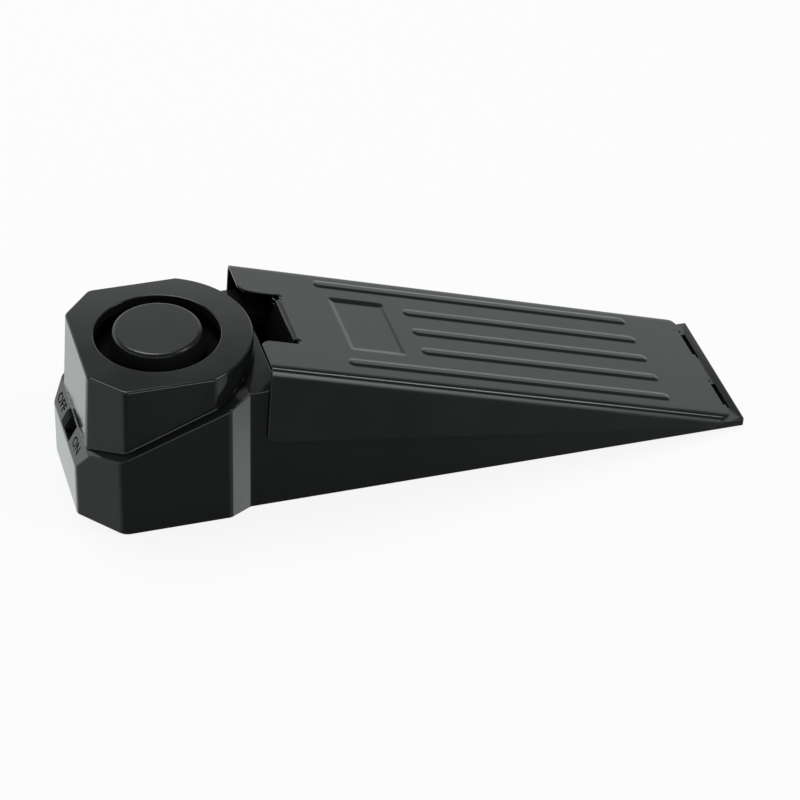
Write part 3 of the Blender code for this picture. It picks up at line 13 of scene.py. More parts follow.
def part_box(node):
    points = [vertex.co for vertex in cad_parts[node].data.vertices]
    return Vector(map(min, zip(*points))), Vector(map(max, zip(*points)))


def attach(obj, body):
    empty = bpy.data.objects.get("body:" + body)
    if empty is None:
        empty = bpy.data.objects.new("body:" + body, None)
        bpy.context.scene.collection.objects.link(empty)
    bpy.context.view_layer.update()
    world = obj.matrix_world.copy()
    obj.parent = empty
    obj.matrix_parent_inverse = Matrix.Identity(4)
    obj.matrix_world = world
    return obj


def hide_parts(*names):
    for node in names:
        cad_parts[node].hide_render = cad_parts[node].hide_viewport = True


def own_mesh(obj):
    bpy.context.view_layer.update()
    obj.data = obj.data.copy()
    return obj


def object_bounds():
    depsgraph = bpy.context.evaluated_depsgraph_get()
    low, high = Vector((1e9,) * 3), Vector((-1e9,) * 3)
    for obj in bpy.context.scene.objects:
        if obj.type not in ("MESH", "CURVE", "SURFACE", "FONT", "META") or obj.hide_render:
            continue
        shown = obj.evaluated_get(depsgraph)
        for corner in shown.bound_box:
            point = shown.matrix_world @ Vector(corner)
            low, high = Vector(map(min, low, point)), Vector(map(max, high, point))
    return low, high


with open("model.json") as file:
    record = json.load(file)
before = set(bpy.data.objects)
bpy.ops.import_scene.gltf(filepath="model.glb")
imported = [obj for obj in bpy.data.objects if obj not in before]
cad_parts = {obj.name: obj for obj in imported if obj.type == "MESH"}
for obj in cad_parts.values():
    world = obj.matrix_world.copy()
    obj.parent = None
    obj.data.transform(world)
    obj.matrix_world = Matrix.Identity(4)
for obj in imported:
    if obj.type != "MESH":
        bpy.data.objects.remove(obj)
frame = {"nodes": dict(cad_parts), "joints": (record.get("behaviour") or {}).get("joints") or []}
cad_low, cad_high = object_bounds()

# Camera: the photograph's long lens, from the near side of the siren head and well above it,
# turned a little about its own axis.
camera_azimuth = math.radians(-17.825)
camera_elevation = math.radians(38.107)
camera_roll = math.radians(2.209)
camera_distance = 0.61199
camera_target = Vector((-0.001778, -0.005462, 0.012))
photo_width_px = 800
photo_focal_px = 2900.3
sensor_width_mm = 36.0
clip_near = 0.01
clip_far = 20.0


def placed(name, data):
    """A new object in the scene."""
    made = bpy.data.objects.new(name, data)
    bpy.context.scene.collection.objects.link(made)
    return made


def standing(place, *axes):
    """A frame at a place, with three axes of its own."""
    return Matrix.Translation(place) @ Matrix(axes).transposed().to_4x4()


level_right = Vector((math.cos(camera_azimuth), math.sin(camera_azimuth), 0))
view_back = Vector((
    math.sin(camera_azimuth) * math.cos(camera_elevation),
    -math.cos(camera_azimuth) * math.cos(camera_elevation),
    math.sin(camera_elevation),
))
level_up = view_back.cross(level_right)
camera_right = math.cos(camera_roll) * level_right + math.sin(camera_roll) * level_up
camera_up = view_back.cross(camera_right)
camera = placed("camera", bpy.data.cameras.new("camera"))
camera.matrix_world = standing(
    camera_target + view_back * camera_distance, camera_right, camera_up, view_back,
)
camera.data.sensor_width = sensor_width_mm
camera.data.lens = sensor_width_mm * photo_focal_px / photo_width_px
camera.data.clip_start = clip_near
camera.data.clip_end = clip_far
bpy.context.scene.camera = camera
bpy.context.scene.view_settings.view_transform = "Standard"

# Studio: a white surround that the camera sees. Glossy faces see a bright wall, boards to the sides,
# a horizon and a low window. A board has its middle, the cosines off it where its light starts and
# is full, and its strength. A fade has its two ends and the share of light at each.
ambient_strength = 0.40
surround_floor = 0.105
surround_boards = (
    ((-0.15, 0.95, -0.20), 0.35, 0.60, 0.90),
    ((-0.95, 0.10, -0.30), 0.60, 1.00, 0.43),
    ((0.60, -0.55, -0.58), 0.90, 1.00, 0.25),
)
right_board = ((0.95, -0.15, -0.30), 0.855, 0.92, 2.00)
right_board_fade = (-0.650, -0.585, 1.0, 0.12)
front_window = ((0.22, -0.95, -0.20), 0.944, 0.998, 4.20)
front_window_fade = (-0.20, -0.10, 1.0, 0.0)
wall_fade = (0.38, 0.50, 1.0, 1.42)
ceiling_fade = (0.580, 0.604, 1.0, 0.03)
horizon_fade = (0.12, 0.23, 1.20, 0.0)
horizon_rear_fade = (-0.2, 0.3, 1.0, 0.20)
horizon_right_fade = (0.34, 0.42, 1.0, 0.10)
daylight = (0.94, 1.0, 0.985, 1.0)
white = (1.0, 1.0, 1.0, 1.0)


class Value:
    """An output of a node, for sums with others and with numbers."""

    def __init__(self, tree, socket):
        self.tree = tree
        self.socket = socket

    def __add__(self, other):
        return calculate("ADD", self, other)

    def __sub__(self, other):
        return calculate("SUBTRACT", self, other)

    def __rsub__(self, other):
        return calculate("SUBTRACT", other, self)

    def __mul__(self, other):
        return calculate("MULTIPLY", self, other)

    def __truediv__(self, other):
        return calculate("DIVIDE", self, other)

    __radd__ = __add__


def feed(node, inputs):
    """Sets inputs of a node, and links those that are given another node's output."""
    for key, value in inputs.items():
        if isinstance(value, Value):
            value.tree.links.new(value.socket, node.inputs[key])
        else:
            node.inputs[key].default_value = value


def add_node(tree, kind, inputs=None, **settings):
    """Adds a node with its properties and its inputs."""
    made = tree.nodes.new(kind)
    for key, value in settings.items():
        setattr(made, key, value)
    feed(made, inputs or {})
    return made


def value_of(tree, kind, inputs=None, output=0, **settings):
    """An output of a new node."""
    return Value(tree, add_node(tree, kind, inputs, **settings).outputs[output])


def calculate(operation, first, second=0.0):
    """The result of one Math node."""
    tree = (first if isinstance(first, Value) else second).tree
    return value_of(tree, "ShaderNodeMath", {0: first, 1: second}, operation=operation)


def ease(value, low, high, out_low=0.0, out_high=1.0):
    """The value mapped smoothly from one range to another."""
    ends = {"Value": value, "From Min": low, "From Max": high, "To Min": out_low, "To Max": out_high}
    return value_of(value.tree, "ShaderNodeMapRange", ends, interpolation_type="SMOOTHSTEP")


def axes_of(point):
    """The X, Y and Z of a vector."""
    split = add_node(point.tree, "ShaderNodeSeparateXYZ", {0: point})
    return [Value(point.tree, socket) for socket in split.outputs]


def ray(tree, kind):
    """Whether the light path is of this kind."""
    return value_of(tree, "ShaderNodeLightPath", output=f"Is {kind} Ray")


world = bpy.data.worlds.new("studio")
bpy.context.scene.world = world
world.use_nodes = True
tree = world.node_tree
tree.nodes.clear()
direction = value_of(tree, "ShaderNodeTexCoord", output="Generated")
toward_right, toward_rear, height = axes_of(direction)


def board_light(board, start, end, gain):
    """Light of a board that fades with the angle from its middle."""
    middle = tuple(Vector(board).normalized())
    facing = value_of(
        tree, "ShaderNodeVectorMath", {0: direction, 1: middle}, "Value", operation="DOT_PRODUCT",
    )
    return ease(facing, start, end, 0.0, gain)


glow = sum(board_light(*board) for board in surround_boards)
glow = glow + board_light(*right_board) * ease(height, *right_board_fade)
glow = glow * ease(height, *wall_fade) * ease(height, *ceiling_fade)
horizon = ease(calculate("ABSOLUTE", height), *horizon_fade)
horizon = horizon * ease(toward_rear, *horizon_rear_fade) * ease(toward_right, *horizon_right_fade)
window = board_light(*front_window) * ease(height, *front_window_fade)
glow = glow + horizon + window + surround_floor
seen = ray(tree, "Camera")
mirrored = calculate("MAXIMUM", ray(tree, "Glossy"), ray(tree, "Transmission"))
unseen = (1.0 - seen) * (mirrored * glow + (1.0 - mirrored) * ambient_strength)
tint = value_of(tree, "ShaderNodeMixRGB", {0: seen, 1: daylight, 2: white})
backdrop = value_of(tree, "ShaderNodeBackground", {"Color": tint, "Strength": seen + unseen})
add_node(tree, "ShaderNodeOutputWorld", {"Surface": backdrop})

# Lamps: a large soft box over the head and a little behind it, and a small weak one high beyond the
# tip on the near side. Each has its place, size and power.
lamps = (
    ("key_lamp", (-0.15, 0.32, 1.00), 0.50, 5.8),
    ("fill_lamp", (0.70, -0.35, 0.71), 0.30, 2.0),
)
for name, spot, size, power in lamps:
    lamp = bpy.data.lights.new(name, "AREA")
    lamp.size = size
    lamp.energy = power
    hung = placed(name, lamp)
    hung.location = spot
    hung.rotation_euler = (-Vector(spot)).to_track_quat("-Z", "Y").to_euler()

# Floor: a plain sheet of pale paper, lying flat under the alarm. The camera sees it as white, with
# the object's soft shadow on it.
floor_half = 3.0
floor_colour = (0.80, 0.80, 0.80, 1.0)
floor_veil = 0.88
floor_mesh = bpy.data.meshes.new("floor")
floor_mesh.from_pydata(
    [(-floor_half, -floor_half, 0), (floor_half, -floor_half, 0),
     (floor_half, floor_half, 0), (-floor_half, floor_half, 0)], [], [(0, 1, 2, 3)],
)
floor = placed("floor", floor_mesh)
floor.location = (0, 0, cad_low.z)
floor.visible_glossy = False
paper = bpy.data.materials.new("floor_paper")
paper.use_nodes = True
tree = paper.node_tree
tree.nodes.clear()
lit_paper = value_of(tree, "ShaderNodeBsdfDiffuse", {"Color": floor_colour})
white_paper = value_of(tree, "ShaderNodeEmission", {"Color": white, "Strength": 1.0})
veil = ray(tree, "Camera") * floor_veil
mixed = value_of(tree, "ShaderNodeMixShader", {0: veil, 1: lit_paper, 2: white_paper})
add_node(tree, "ShaderNodeOutputMaterial", {"Surface": mixed})
floor.data.materials.append(paper)


# Lower housing: one black ABS moulding, a hollow wedge open below. It has the sloping ledge round
# the siren head, the steep shelf with the engraved words of the switch, and the flat neck.
housing_wall = 0.00202
housing_round = 0.00028
housing_bottom = 0.0001
whole_length = 0.1450
head_top = 0.0350
head_half = 0.0203
body_half = 0.0179
shelf_depth = 0.0024
shelf_low = 0.0127
shelf_top = 0.017095
housing_plan = (
    (0, 0.0111), (0.0080, head_half), (0.0305, head_half), (0.03516, body_half),
    (whole_length, body_half),
)
plan_rounds = (0.0018, 0.0030, 0.0024, 0.0008, 0.0004)
housing_side = (
    (0, shelf_low), (shelf_depth, shelf_top), (0.03516, 0.0300), (0.0412, 0.0300), (0.0412, 0.0296),
    (0.14104, 0.0021), (whole_length, 0.0021),
)
cavity_end = 0.1320
cover_seat_front = 0.1352
cover_seat_top = 0.0023
cover_seat_wall = 0.0012
merge_distance = 0.000001
cut_margin = 0.0050
tool_half = 0.03
patch_detail = 3.0
grain_detail = 2.0
patch_spread = (0.3, 0.7)


def procedural(name, dark, light, patch, gloss, grain, depth, metallic=0.0, specular=0.5):
    """A finish of two near tones in soft patches, a range of roughness and a fine surface grain."""
    made = bpy.data.materials.new(name)
    made.use_nodes = True
    tree = made.node_tree
    place = value_of(tree, "ShaderNodeTexCoord", output="Object")
    cloud = value_of(
        tree, "ShaderNodeTexNoise", {"Vector": place, "Scale": patch, "Detail": patch_detail},
    )
    specks = value_of(
        tree, "ShaderNodeTexNoise", {"Vector": place, "Scale": grain, "Detail": grain_detail},
    )
    tones = value_of(tree, "ShaderNodeMixRGB", {0: cloud, 1: (*dark, 1.0), 2: (*light, 1.0)})
    feed(tree.nodes["Principled BSDF"], {
        "Base Color": tones,
        "Roughness": ease(cloud, *patch_spread, *gloss),
        "Normal": value_of(tree, "ShaderNodeBump", {"Height": specks, "Distance": depth}),
        "Metallic": metallic,
        "Specular IOR Level": specular,
    })
    return made


black_abs = procedural(
    "moulded_black_abs", (0.0098, 0.0108, 0.0102), (0.0116, 0.0128, 0.0122), 90, (0.09, 0.12), 5200,
    0.0000008,
)


def at(station):
    """The x of a point at this distance from the rear face of the head."""
    return cad_low.x + station


def new_piece(name, bm):
    """An object of the mesh, with its faces turned outwards."""
    bmesh.ops.recalc_face_normals(bm, faces=bm.faces)
    mesh = bpy.data.meshes.new(name)
    bm.to_mesh(mesh)
    bm.free()
    return placed(name, mesh)


def copy_of(node, name, whole=True, flat_angle=1):
    """A copy of a CAD solid, its loose triangles joined, and merged into whole faces."""
    bm = bmesh.new()
    bm.from_mesh(frame["nodes"][node].data)
    bmesh.ops.remove_doubles(bm, verts=bm.verts, dist=merge_distance)
    if whole:
        limit = math.radians(flat_angle)
        bmesh.ops.dissolve_limit(bm, angle_limit=limit, verts=bm.verts, edges=bm.edges)
    return new_piece(name, bm)


def loft(name, rings):
    """A closed solid through rings of as many points each, with a flat face on its first and last."""
    bm = bmesh.new()
    rows = [[bm.verts.new(point) for point in ring] for ring in rings]
    bm.faces.new(rows[0])
    bm.faces.new(rows[-1])
    for low, high in zip(rows, rows[1:]):
        for index in range(len(low)):
            bm.faces.new((low[index - 1], low[index], high[index], high[index - 1]))
    return new_piece(name, bm)


def upright(name, outline, low, high):
    """A plan outline raised from one height to another."""
    return loft(name, [[(x, y, z) for x, y in outline] for z in (low, high)])


def across(name, outline):
    """A side outline of x and z carried out past both sides of the part."""
    return loft(name, [[(x, y, z) for x, z in outline] for y in (-tool_half, tool_half)])


def box_between(name, low, high):
    """A box between two corners."""
    plan = [(low[0], low[1]), (high[0], low[1]), (high[0], high[1]), (low[0], high[1])]
    return upright(name, plan, low[2], high[2])


def mirrored_outline(half):
    """The whole plan outline from its points on the left side, those on the right side first."""
    return [(at(x), -y) for x, y in half] + [(at(x), y) for x, y in reversed(half)]


def inset(points, distance):
    """The closed counter-clockwise outline moved inwards."""
    moved = []
    for index, point in enumerate(points):
        here = Vector(point)
        before = (here - Vector(points[index - 1])).normalized()
        after = (Vector(points[(index + 1) % len(points)]) - here).normalized()
        normals = Vector((-before.y, before.x)) + Vector((-after.y, after.x))
        moved.append(tuple(here + normals * distance / (1 + before.dot(after))))
    return moved


def rounded(corners, steps=8):
    """A closed outline of (x, y, radius) with each corner rounded to its radius."""
    made = []
    for index, (x, y, radius) in enumerate(corners):
        corner = Vector((x, y))
        if radius == 0:
            made.append((x, y))
            continue
        before = (Vector(corners[index - 1][:2]) - corner).normalized()
        after = (Vector(corners[(index + 1) % len(corners)][:2]) - corner).normalized()
        half = before.angle(after) / 2
        centre = corner + (before + after).normalized() * (radius / math.sin(half))
        first = corner + before * (radius / math.tan(half)) - centre
        last = corner + after * (radius / math.tan(half)) - centre
        turn = first.angle_signed(last)
        for step in range(steps + 1):
            made.append(tuple(centre + Matrix.Rotation(-turn * step / steps, 2) @ first))
    return made


def combine(operation, piece, *tools):
    """Adds a Boolean for each tool. The tools go when the piece is finished."""
    for tool in tools:
        added = piece.modifiers.new(operation.lower(), "BOOLEAN")
        added.operation = operation
        added.solver = "EXACT"
        added.object = tool
    return piece


cut = partial(combine, "DIFFERENCE")
join = partial(combine, "UNION")
keep_within = partial(combine, "INTERSECT")


def soften(piece, width, segments=3, angle=16):
    """Rounds the sharp edges that the piece has so far."""
    added = piece.modifiers.new("edge_round", "BEVEL")
    added.width = width
    added.segments = segments
    added.limit_method = "ANGLE"
    added.angle_limit = math.radians(angle)
    added.use_clamp_overlap = False
    return piece


def cutters_of(piece):
    """The tools of the piece's Booleans, and the tools of those."""
    found = {m.object for m in piece.modifiers if m.type == "BOOLEAN"}
    return found.union(*(cutters_of(tool) for tool in found))


def evaluated_mesh(piece):
    """A plain mesh of the piece with its modifiers taken in."""
    graph = bpy.context.evaluated_depsgraph_get()
    return bpy.data.meshes.new_from_object(piece.evaluated_get(graph))


def settle(piece, smooth_angle=34, weighted=True, area_weight=80):
    """The piece as a plain mesh: modifiers taken in, points merged, smooth but for its sharp edges."""
    tools = cutters_of(piece)
    mesh = evaluated_mesh(piece)
    mesh.transform(piece.matrix_world)
    piece.modifiers.clear()
    piece.matrix_world = Matrix.Identity(4)
    for tool in tools:
        bpy.data.objects.remove(tool)
    bm = bmesh.new()
    bm.from_mesh(mesh)
    bmesh.ops.remove_doubles(bm, verts=bm.verts, dist=merge_distance)
    for face in bm.faces:
        face.smooth = True
    for edge in bm.edges:
        sharp = edge.is_manifold and edge.calc_face_angle(0) > math.radians(smooth_angle)
        edge.smooth = not sharp
    bm.to_mesh(mesh)
    bm.free()
    piece.data = mesh
    if weighted:
        added = piece.modifiers.new("even_normals", "WEIGHTED_NORMAL")
        added.keep_sharp = True
        added.weight = area_weight
        mesh = evaluated_mesh(piece)
        piece.modifiers.clear()
        piece.data = mesh
    return piece


def fit(piece, material, body, slot, *nodes):
    """Gives the piece its finish and its body, and hides the CAD nodes that it stands for. The slot is
    not used.
    """
    piece.data.materials.clear()
    piece.data.materials.append(material)
    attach(piece, body)
    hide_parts(*nodes)


def side_profile(low, front, drop=0.0):
    """Side outline of the housing from a height below it, cut off at the front and lowered."""
    top = [(at(x), z - drop) for x, z in housing_side if x < front]
    ahead = next(p for p in housing_side if p[0] >= front)
    behind = [p for p in housing_side if p[0] < front][-1]
    share = (front - behind[0]) / (ahead[0] - behind[0])
    front_top = behind[1] + share * (ahead[1] - behind[1]) - drop
    return [(at(0), low), (at(front), low), (at(front), front_top)] + top[::-1]


def wedge_plan(front):
    """The housing's plan outline with sharp corners, cut off at the front."""
    return mirrored_outline((*housing_plan[:-1], (front, body_half)))


def hollow(name, wall):
    """The room inside walls of a thickness, open below."""
    made = upright(name, inset(wedge_plan(cavity_end), wall), -cut_margin, head_top)
    side = across(name + "_side", inset(side_profile(-2 * cut_margin, cavity_end), wall))
    return keep_within(made, side)


outer_plan = rounded([
    (*point, radius)
    for point, radius in zip(mirrored_outline(housing_plan), (*plan_rounds, *plan_rounds[::-1]))
])
housing = upright("housing_shell", outer_plan, housing_bottom, head_top)
keep_within(housing, across("side", side_profile(-cut_margin, whole_length)))
soften(housing, housing_round)
cut(housing, hollow("cavity", housing_wall), upright(
    "cover_seat", inset(wedge_plan(cover_seat_front), cover_seat_wall), -cut_margin, cover_seat_top,
))

# Head cover outline, which the opening of the housing under it shares: a flat rear, two chamfers,
# straight sides and a round nose, all leaning in by a twentieth of their height.
cover_plan = ((0.0032, 0.0110), (0.0095, 0.0179))
nose_centre = 0.0201
nose_radius = 0.01956
nose_steps = 56
cover_foot = 0.0110
cover_draft = 0.05
cover_corner = 0.0020


def cover_ring(height, shrink=0.0):
    """The cover's outline at a height, moved inwards by a distance."""
    half = math.asin(cover_plan[1][1] / nose_radius)
    turns = [half * (1 - step / nose_steps * 2) for step in range(nose_steps + 1)]
    nose = [(at(nose_centre) + nose_radius * math.cos(t), nose_radius * math.sin(t)) for t in turns]
    right = [(at(x), -y) for x, y in cover_plan]
    left = [(at(x), y) for x, y in reversed(cover_plan)]
    moved = inset([*right, *nose[::-1], *left], shrink - (head_top - height) * cover_draft)
    corners = (0, 1, len(moved) - 2, len(moved) - 1)
    radius = max(cover_corner - shrink, cover_corner / 10)
    moved = rounded([(x, y, radius if index in corners else 0) for index, (x, y) in enumerate(moved)])
    return [(x, y, height) for x, y in moved]


head_rings = [cover_ring(height, housing_wall) for height in (cover_foot, head_top + cut_margin)]
cut(housing, loft("head_hole", head_rings))

# The ribs, posts, bosses and spring wells inside the shell have the solid's own shapes.
inner_overlap = 0.0004
inner_forms = copy_of("base_housing", "inner_forms", whole=False)
keep_within(inner_forms, hollow("inner_room", housing_wall - inner_overlap))
join(housing, inner_forms)

# Slots of the lower housing, for the plate's tongue, the tabs at the tip and the switch slider. A
# tongue slot has its rear, its front and half its width, a tab slot its rear, its front and its top.
tongue_slots = ((0.04315, 0.04795, 0.0078), (0.04130, 0.04600, 0.0095))
tongue_slot_floor = 0.0250
tab_slot_sides = (0.00485, 0.01365)
tab_slot_floor = 0.0004
tab_slots = ((0.13990, 0.14320, head_top), (0.1381, 0.14105, 0.0016))
for rear, front, half in tongue_slots:
    cut(housing, box_between(
        "tongue_slot", (at(rear), -half, tongue_slot_floor), (at(front), half, head_top),
    ))
for side in (1, -1):
    near, far = sorted(side * edge for edge in tab_slot_sides)
    for rear, front, top in tab_slots:
        cut(housing, box_between(
            "tab_slot", (at(rear), near, tab_slot_floor), (at(front), far, top),
        ))

shelf_rise = shelf_top - shelf_low
shelf_up = Vector((shelf_depth, 0, shelf_rise)).normalized()
shelf_out = Vector((-shelf_rise, 0, shelf_depth)).normalized()
shelf_middle = Vector((at(shelf_depth / 2), 0, shelf_low + shelf_rise / 2))
shelf_frame = standing(shelf_middle, Vector((0, -1, 0)), shelf_up, shelf_out)
switch_slot = ((-0.00335, -0.0020, -0.0060), (0.00335, 0.0020, 0.0020))


def on_shelf(piece):
    """The piece moved from the level to the sloping shelf."""
    piece.matrix_world = shelf_frame
    return piece


cut(housing, on_shelf(box_between("switch_slot", *switch_slot)))

words = (("OFF", -0.00765, 0.0056), ("ON", 0.0070, 0.0044))
word_height = 0.0023
word_depth = 0.0003
word_thickening = 0.026
letter_extrude = 0.5
stroke_merge = 0.0001
for word, middle, width in words:
    curve = bpy.data.curves.new(word, "FONT")
    curve.body = word
    curve.extrude = letter_extrude
    curve.offset = word_thickening
    text = placed("word_" + word, curve)
    bpy.context.view_layer.update()
    mesh = evaluated_mesh(text)
    bpy.data.objects.remove(text)
    xs = [v.co.x for v in mesh.vertices]
    ys = [v.co.y for v in mesh.vertices]
    word_scale = (width / (max(xs) - min(xs)), word_height / (max(ys) - min(ys)), 2 * word_depth)
    centre = Vector(((max(xs) + min(xs)) / 2, (max(ys) + min(ys)) / 2, 0))
    bm = bmesh.new()
    bm.from_mesh(mesh)
    bmesh.ops.remove_doubles(bm, verts=bm.verts, dist=stroke_merge)
    bmesh.ops.translate(bm, vec=-centre, verts=bm.verts)
    bmesh.ops.scale(bm, vec=word_scale, verts=bm.verts)
    bmesh.ops.translate(bm, vec=(middle, 0, 0), verts=bm.verts)
    cut(housing, on_shelf(new_piece("letters_" + word, bm)))
fit(settle(housing), black_abs, "housing", "black_abs", "base_housing")


# Head cover: the upper half of the head, a drafted black ABS shell that screws down on the ledge.
# Its flat top has the round siren opening, with a fine round on every outer edge.
cover_round = 0.00040
cover_hollow_foot = 0.0060
opening_radius = 0.01295
opening_round = 0.00025
roof_thickness = 0.0020
foot_gap = 0.00015
foot_round = 0.00012
lip_width = 0.00010
lip_height = 0.00035


def turned(name, profile, sides=96):
    """A closed profile of radius and height turned about the head's axis; a radius of 0 closes it."""
    bm = bmesh.new()
    turns = [2 * math.pi * step / sides for step in range(sides)]
    rows = []
    for radius, height in profile:
        rows.append([
            bm.verts.new((at(nose_centre) + radius * math.cos(t), radius * math.sin(t), height))
            for t in (turns if radius else turns[:1])
        ])
    pairs = list(zip(rows, rows[1:]))
    if len(rows[0]) > 1:
        pairs.append((rows[-1], rows[0]))
    for first, second in pairs:
        for index in range(sides):
            corners = []
            steps = ((first, index - 1), (first, index), (second, index), (second, index - 1))
            for row, step in steps:
                point = row[step % len(row)]
                if point not in corners:
                    corners.append(point)
            if len(corners) > 2:
                bm.faces.new(corners)
    return new_piece(name, bm)


def arc(centre, radius, start, end, steps=8):
    """Points on an arc, in degrees."""
    turns = [math.radians(start + (end - start) * step / steps) for step in range(steps + 1)]
    return [(centre[0] + radius * math.cos(t), centre[1] + radius * math.sin(t)) for t in turns]


def cover_body(name, low, high, shrink=0.0):
    """The cover's outline as a solid from one height to another."""
    return loft(name, [cover_ring(low, shrink), cover_ring(high, shrink)])


cover = soften(cover_body("head_cover_shell", cover_foot, head_top), cover_round, segments=4)
roof_underside = head_top - roof_thickness
lip = cover_body("foot_lip", cover_foot, roof_underside, -lip_width)
lip_top = side_profile(-cut_margin, whole_length, drop=-foot_gap - lip_height)
join(cover, keep_within(lip, across("lip_roof", lip_top)))
cut(cover, cover_body("cover_hollow", cover_hollow_foot, roof_underside, housing_wall))
below_cover = inset(side_profile(-cut_margin, whole_length), -foot_gap)
cut(cover, across("below_cover", below_cover))
soften(cover, foot_round, segments=2, angle=50)
opening_mouth = opening_radius + 2 * opening_round
opening_profile = [
    (0, head_top + cut_margin), (opening_mouth, head_top + cut_margin),
    (opening_mouth, head_top + opening_round),
    *arc((opening_radius + opening_round, head_top - opening_round), opening_round, 90, 180, 6),
    (opening_radius, head_top - cut_margin), (0, head_top - cut_margin),
]
cut(cover, turned("opening", opening_profile))
fit(settle(cover), black_abs, "housing", "black_abs", "head_cover")


# Siren cap: a black ABS button over the sounder, with a rounded rim, on three legs that stand on a
# ring. Its top is satin; what lies down in the opening gets a darker matt black, painted shade.
cap_radius = 0.00925
cap_top = 0.0362
cap_thickness = 0.0046
cap_round = 0.00090
cap_draft = 0.0006
ring_top = 0.0300
ring_bottom = 0.0286
leg_width = 0.0024
# A darker matt black ABS: painted shade for what lies deep in the siren groove and the plate's notch.
matt_shade_black_abs = procedural(
    "matt_shade_painted_black_abs", (0.0016, 0.0017, 0.0016), (0.0022, 0.0023, 0.0022), 90, (0.70, 0.80), 2600,
    0.000004, specular=0.06,
)
satin_black_abs = procedural(
    "satin_black_abs", (0.0098, 0.0108, 0.0102), (0.0116, 0.0128, 0.0122), 90, (0.20, 0.26), 5200,
    0.000001, specular=0.42,
)
rim = arc((cap_radius - cap_round, cap_top - cap_round), cap_round, 90, 0, 10)
cap = turned("siren_cap_button", [
    (0, cap_top), *rim, (cap_radius + cap_draft, cap_top - cap_thickness), (0, cap_top - cap_thickness),
])
join(cap, turned("siren_ring", [
    (opening_radius, ring_top), (opening_radius, ring_bottom),
    (cap_radius - leg_width, ring_bottom), (cap_radius - leg_width, ring_top),
]))
for number in range(3):
    leg = box_between(
        "siren_leg", (cap_radius - leg_width, -leg_width / 2, (ring_top + ring_bottom) / 2),
        (cap_radius - leg_width / 4, leg_width / 2, cap_top - cap_thickness / 2),
    )
    turn = Matrix.Rotation(2 * math.pi * number / 3, 4, "Z")
    leg.matrix_world = Matrix.Translation((at(nose_centre), 0, 0)) @ turn
    join(cap, leg)
fit(settle(cap), satin_black_abs, "housing", "black_abs", "siren_cap")
cap.data.materials.append(matt_shade_black_abs)
# The faces low in the opening get the darker matt black: painted shade of the groove.
for face in cap.data.polygons:
    face.material_index = int(face.center.z < ring_top + leg_width / 4)


# Pressure plate: black painted steel, pressed from one sheet. Its sides fold down into tapering
# flanges, a tongue bends down in the rear notch, and two tabs hook under the housing as its hinge.
# Its own frame starts at the hinge, with X along the sheet towards the tip and Z square to it.
plate_angle = math.radians(17.8)
hinge_point = Vector((at(0.1420), 0, 0.0025))
plate_frame = Matrix.Translation(hinge_point) @ Matrix.Rotation(plate_angle, 4, "Y")
plate_length = 0.10795
plate_top = 0.00073
sheet = 0.0006
plate_half = 0.0188
bend_round = 0.0011
flange_curve = 0.0055
flange_lean = 14
flange_reach = 0.024
flange_corners = ((0.0049 - plate_length, 0.0183, 0.0015), (-0.0034, 0.0030, 0.0006))
flange_step = -0.0024
flange_step_round = 0.0003
crown_curve = 0.0060
crown_lean = 8
plate_edge_round = 0.00014
notch_half = 0.00875
notch_depth = 0.00795
notch_round = 0.0024
relief_length = 0.0008
tongue_half = 0.0072
tongue_round = 0.00065
tongue_length = 0.0086
tongue_hook = 0.0036
tab_near = 0.0051
tab_far = 0.0134
tab_back = 0.0006
tab_gap = 0.00025
tab_drop = 0.0022
tab_hook = 0.0013
tip_round = 0.0034
end_margin = 0.004
plan_tool_heights = (-0.03, 0.01)
black_steel = procedural(
    "painted_black_steel", (0.0088, 0.0100, 0.0098), (0.0110, 0.0124, 0.0122), 60, (0.16, 0.21), 2400,
    0.0000020,
)

# Its relief: five rounded ribs, a shallow panel, and a dimple by each corner of the tongue. Ribs and
# panel lie a little to the far side, and the sheet's rows of points lie close together at their edges.
relief = SimpleNamespace(
    sheet_top=plate_top,
    rib_half=0.00145,
    rib_crown=0.00050,
    rib_height=0.00021,
    rib_front=0.0139,
    long_rib_rear=0.0899,
    short_rib_rear=0.0711,
    rib_pitch=0.0070,
    aside=0.0007,
    panel_rear=0.0879,
    panel_front=0.0746,
    panel_half=0.0096,
    panel_corner=0.0012,
    panel_depth=0.00034,
    panel_slope=0.0016,
    dimple_distance=plate_length - notch_depth - relief_length,
    dimple_offset=(notch_half + tongue_half) / 2,
    dimple_half=0.0011,
    dimple_depth=0.00016,
)
fine_step = 0.0002
coarse_step = 0.0036
support = 0.0004
level_margin = 0.00001


def new_tree(name, sizes):
    """A node tree that takes geometry and named sizes, and what it is given."""
    made = bpy.data.node_groups.new(name, "GeometryNodeTree")
    made.interface.new_socket("geometry", in_out="INPUT", socket_type="NodeSocketGeometry")
    made.interface.new_socket("geometry", in_out="OUTPUT", socket_type="NodeSocketGeometry")
    for size, value in sizes.items():
        kind = "NodeSocketInt" if isinstance(value, int) else "NodeSocketFloat"
        made.interface.new_socket(size, in_out="INPUT", socket_type=kind)
    sockets = made.nodes.new("NodeGroupInput").outputs
    return made, SimpleNamespace(**{s.name: Value(made, s) for s in sockets if s.name})


def close_tree(geometry, material):
    """Ends a node tree: its instances are made real, and they get the material."""
    tree = geometry.tree
    plain = value_of(tree, "GeometryNodeRealizeInstances", {"Geometry": geometry})
    painted = value_of(tree, "GeometryNodeSetMaterial", {"Geometry": plain, "Material": material})
    add_node(tree, "NodeGroupOutput", {0: painted})


def press(piece, tree, sizes):
    """Adds the node tree to the piece, with its sizes."""
    added = piece.modifiers.new(tree.name, "NODES")
    added.node_group = tree
    for size, value in sizes.items():
        added[tree.interface.items_tree[size].identifier] = value
    return piece


def vector(x=0.0, y=0.0, z=0.0):
    """The three numbers as one vector."""
    tree = next(part.tree for part in (x, y, z) if isinstance(part, Value))
    return value_of(tree, "ShaderNodeCombineXYZ", {0: x, 1: y, 2: z})


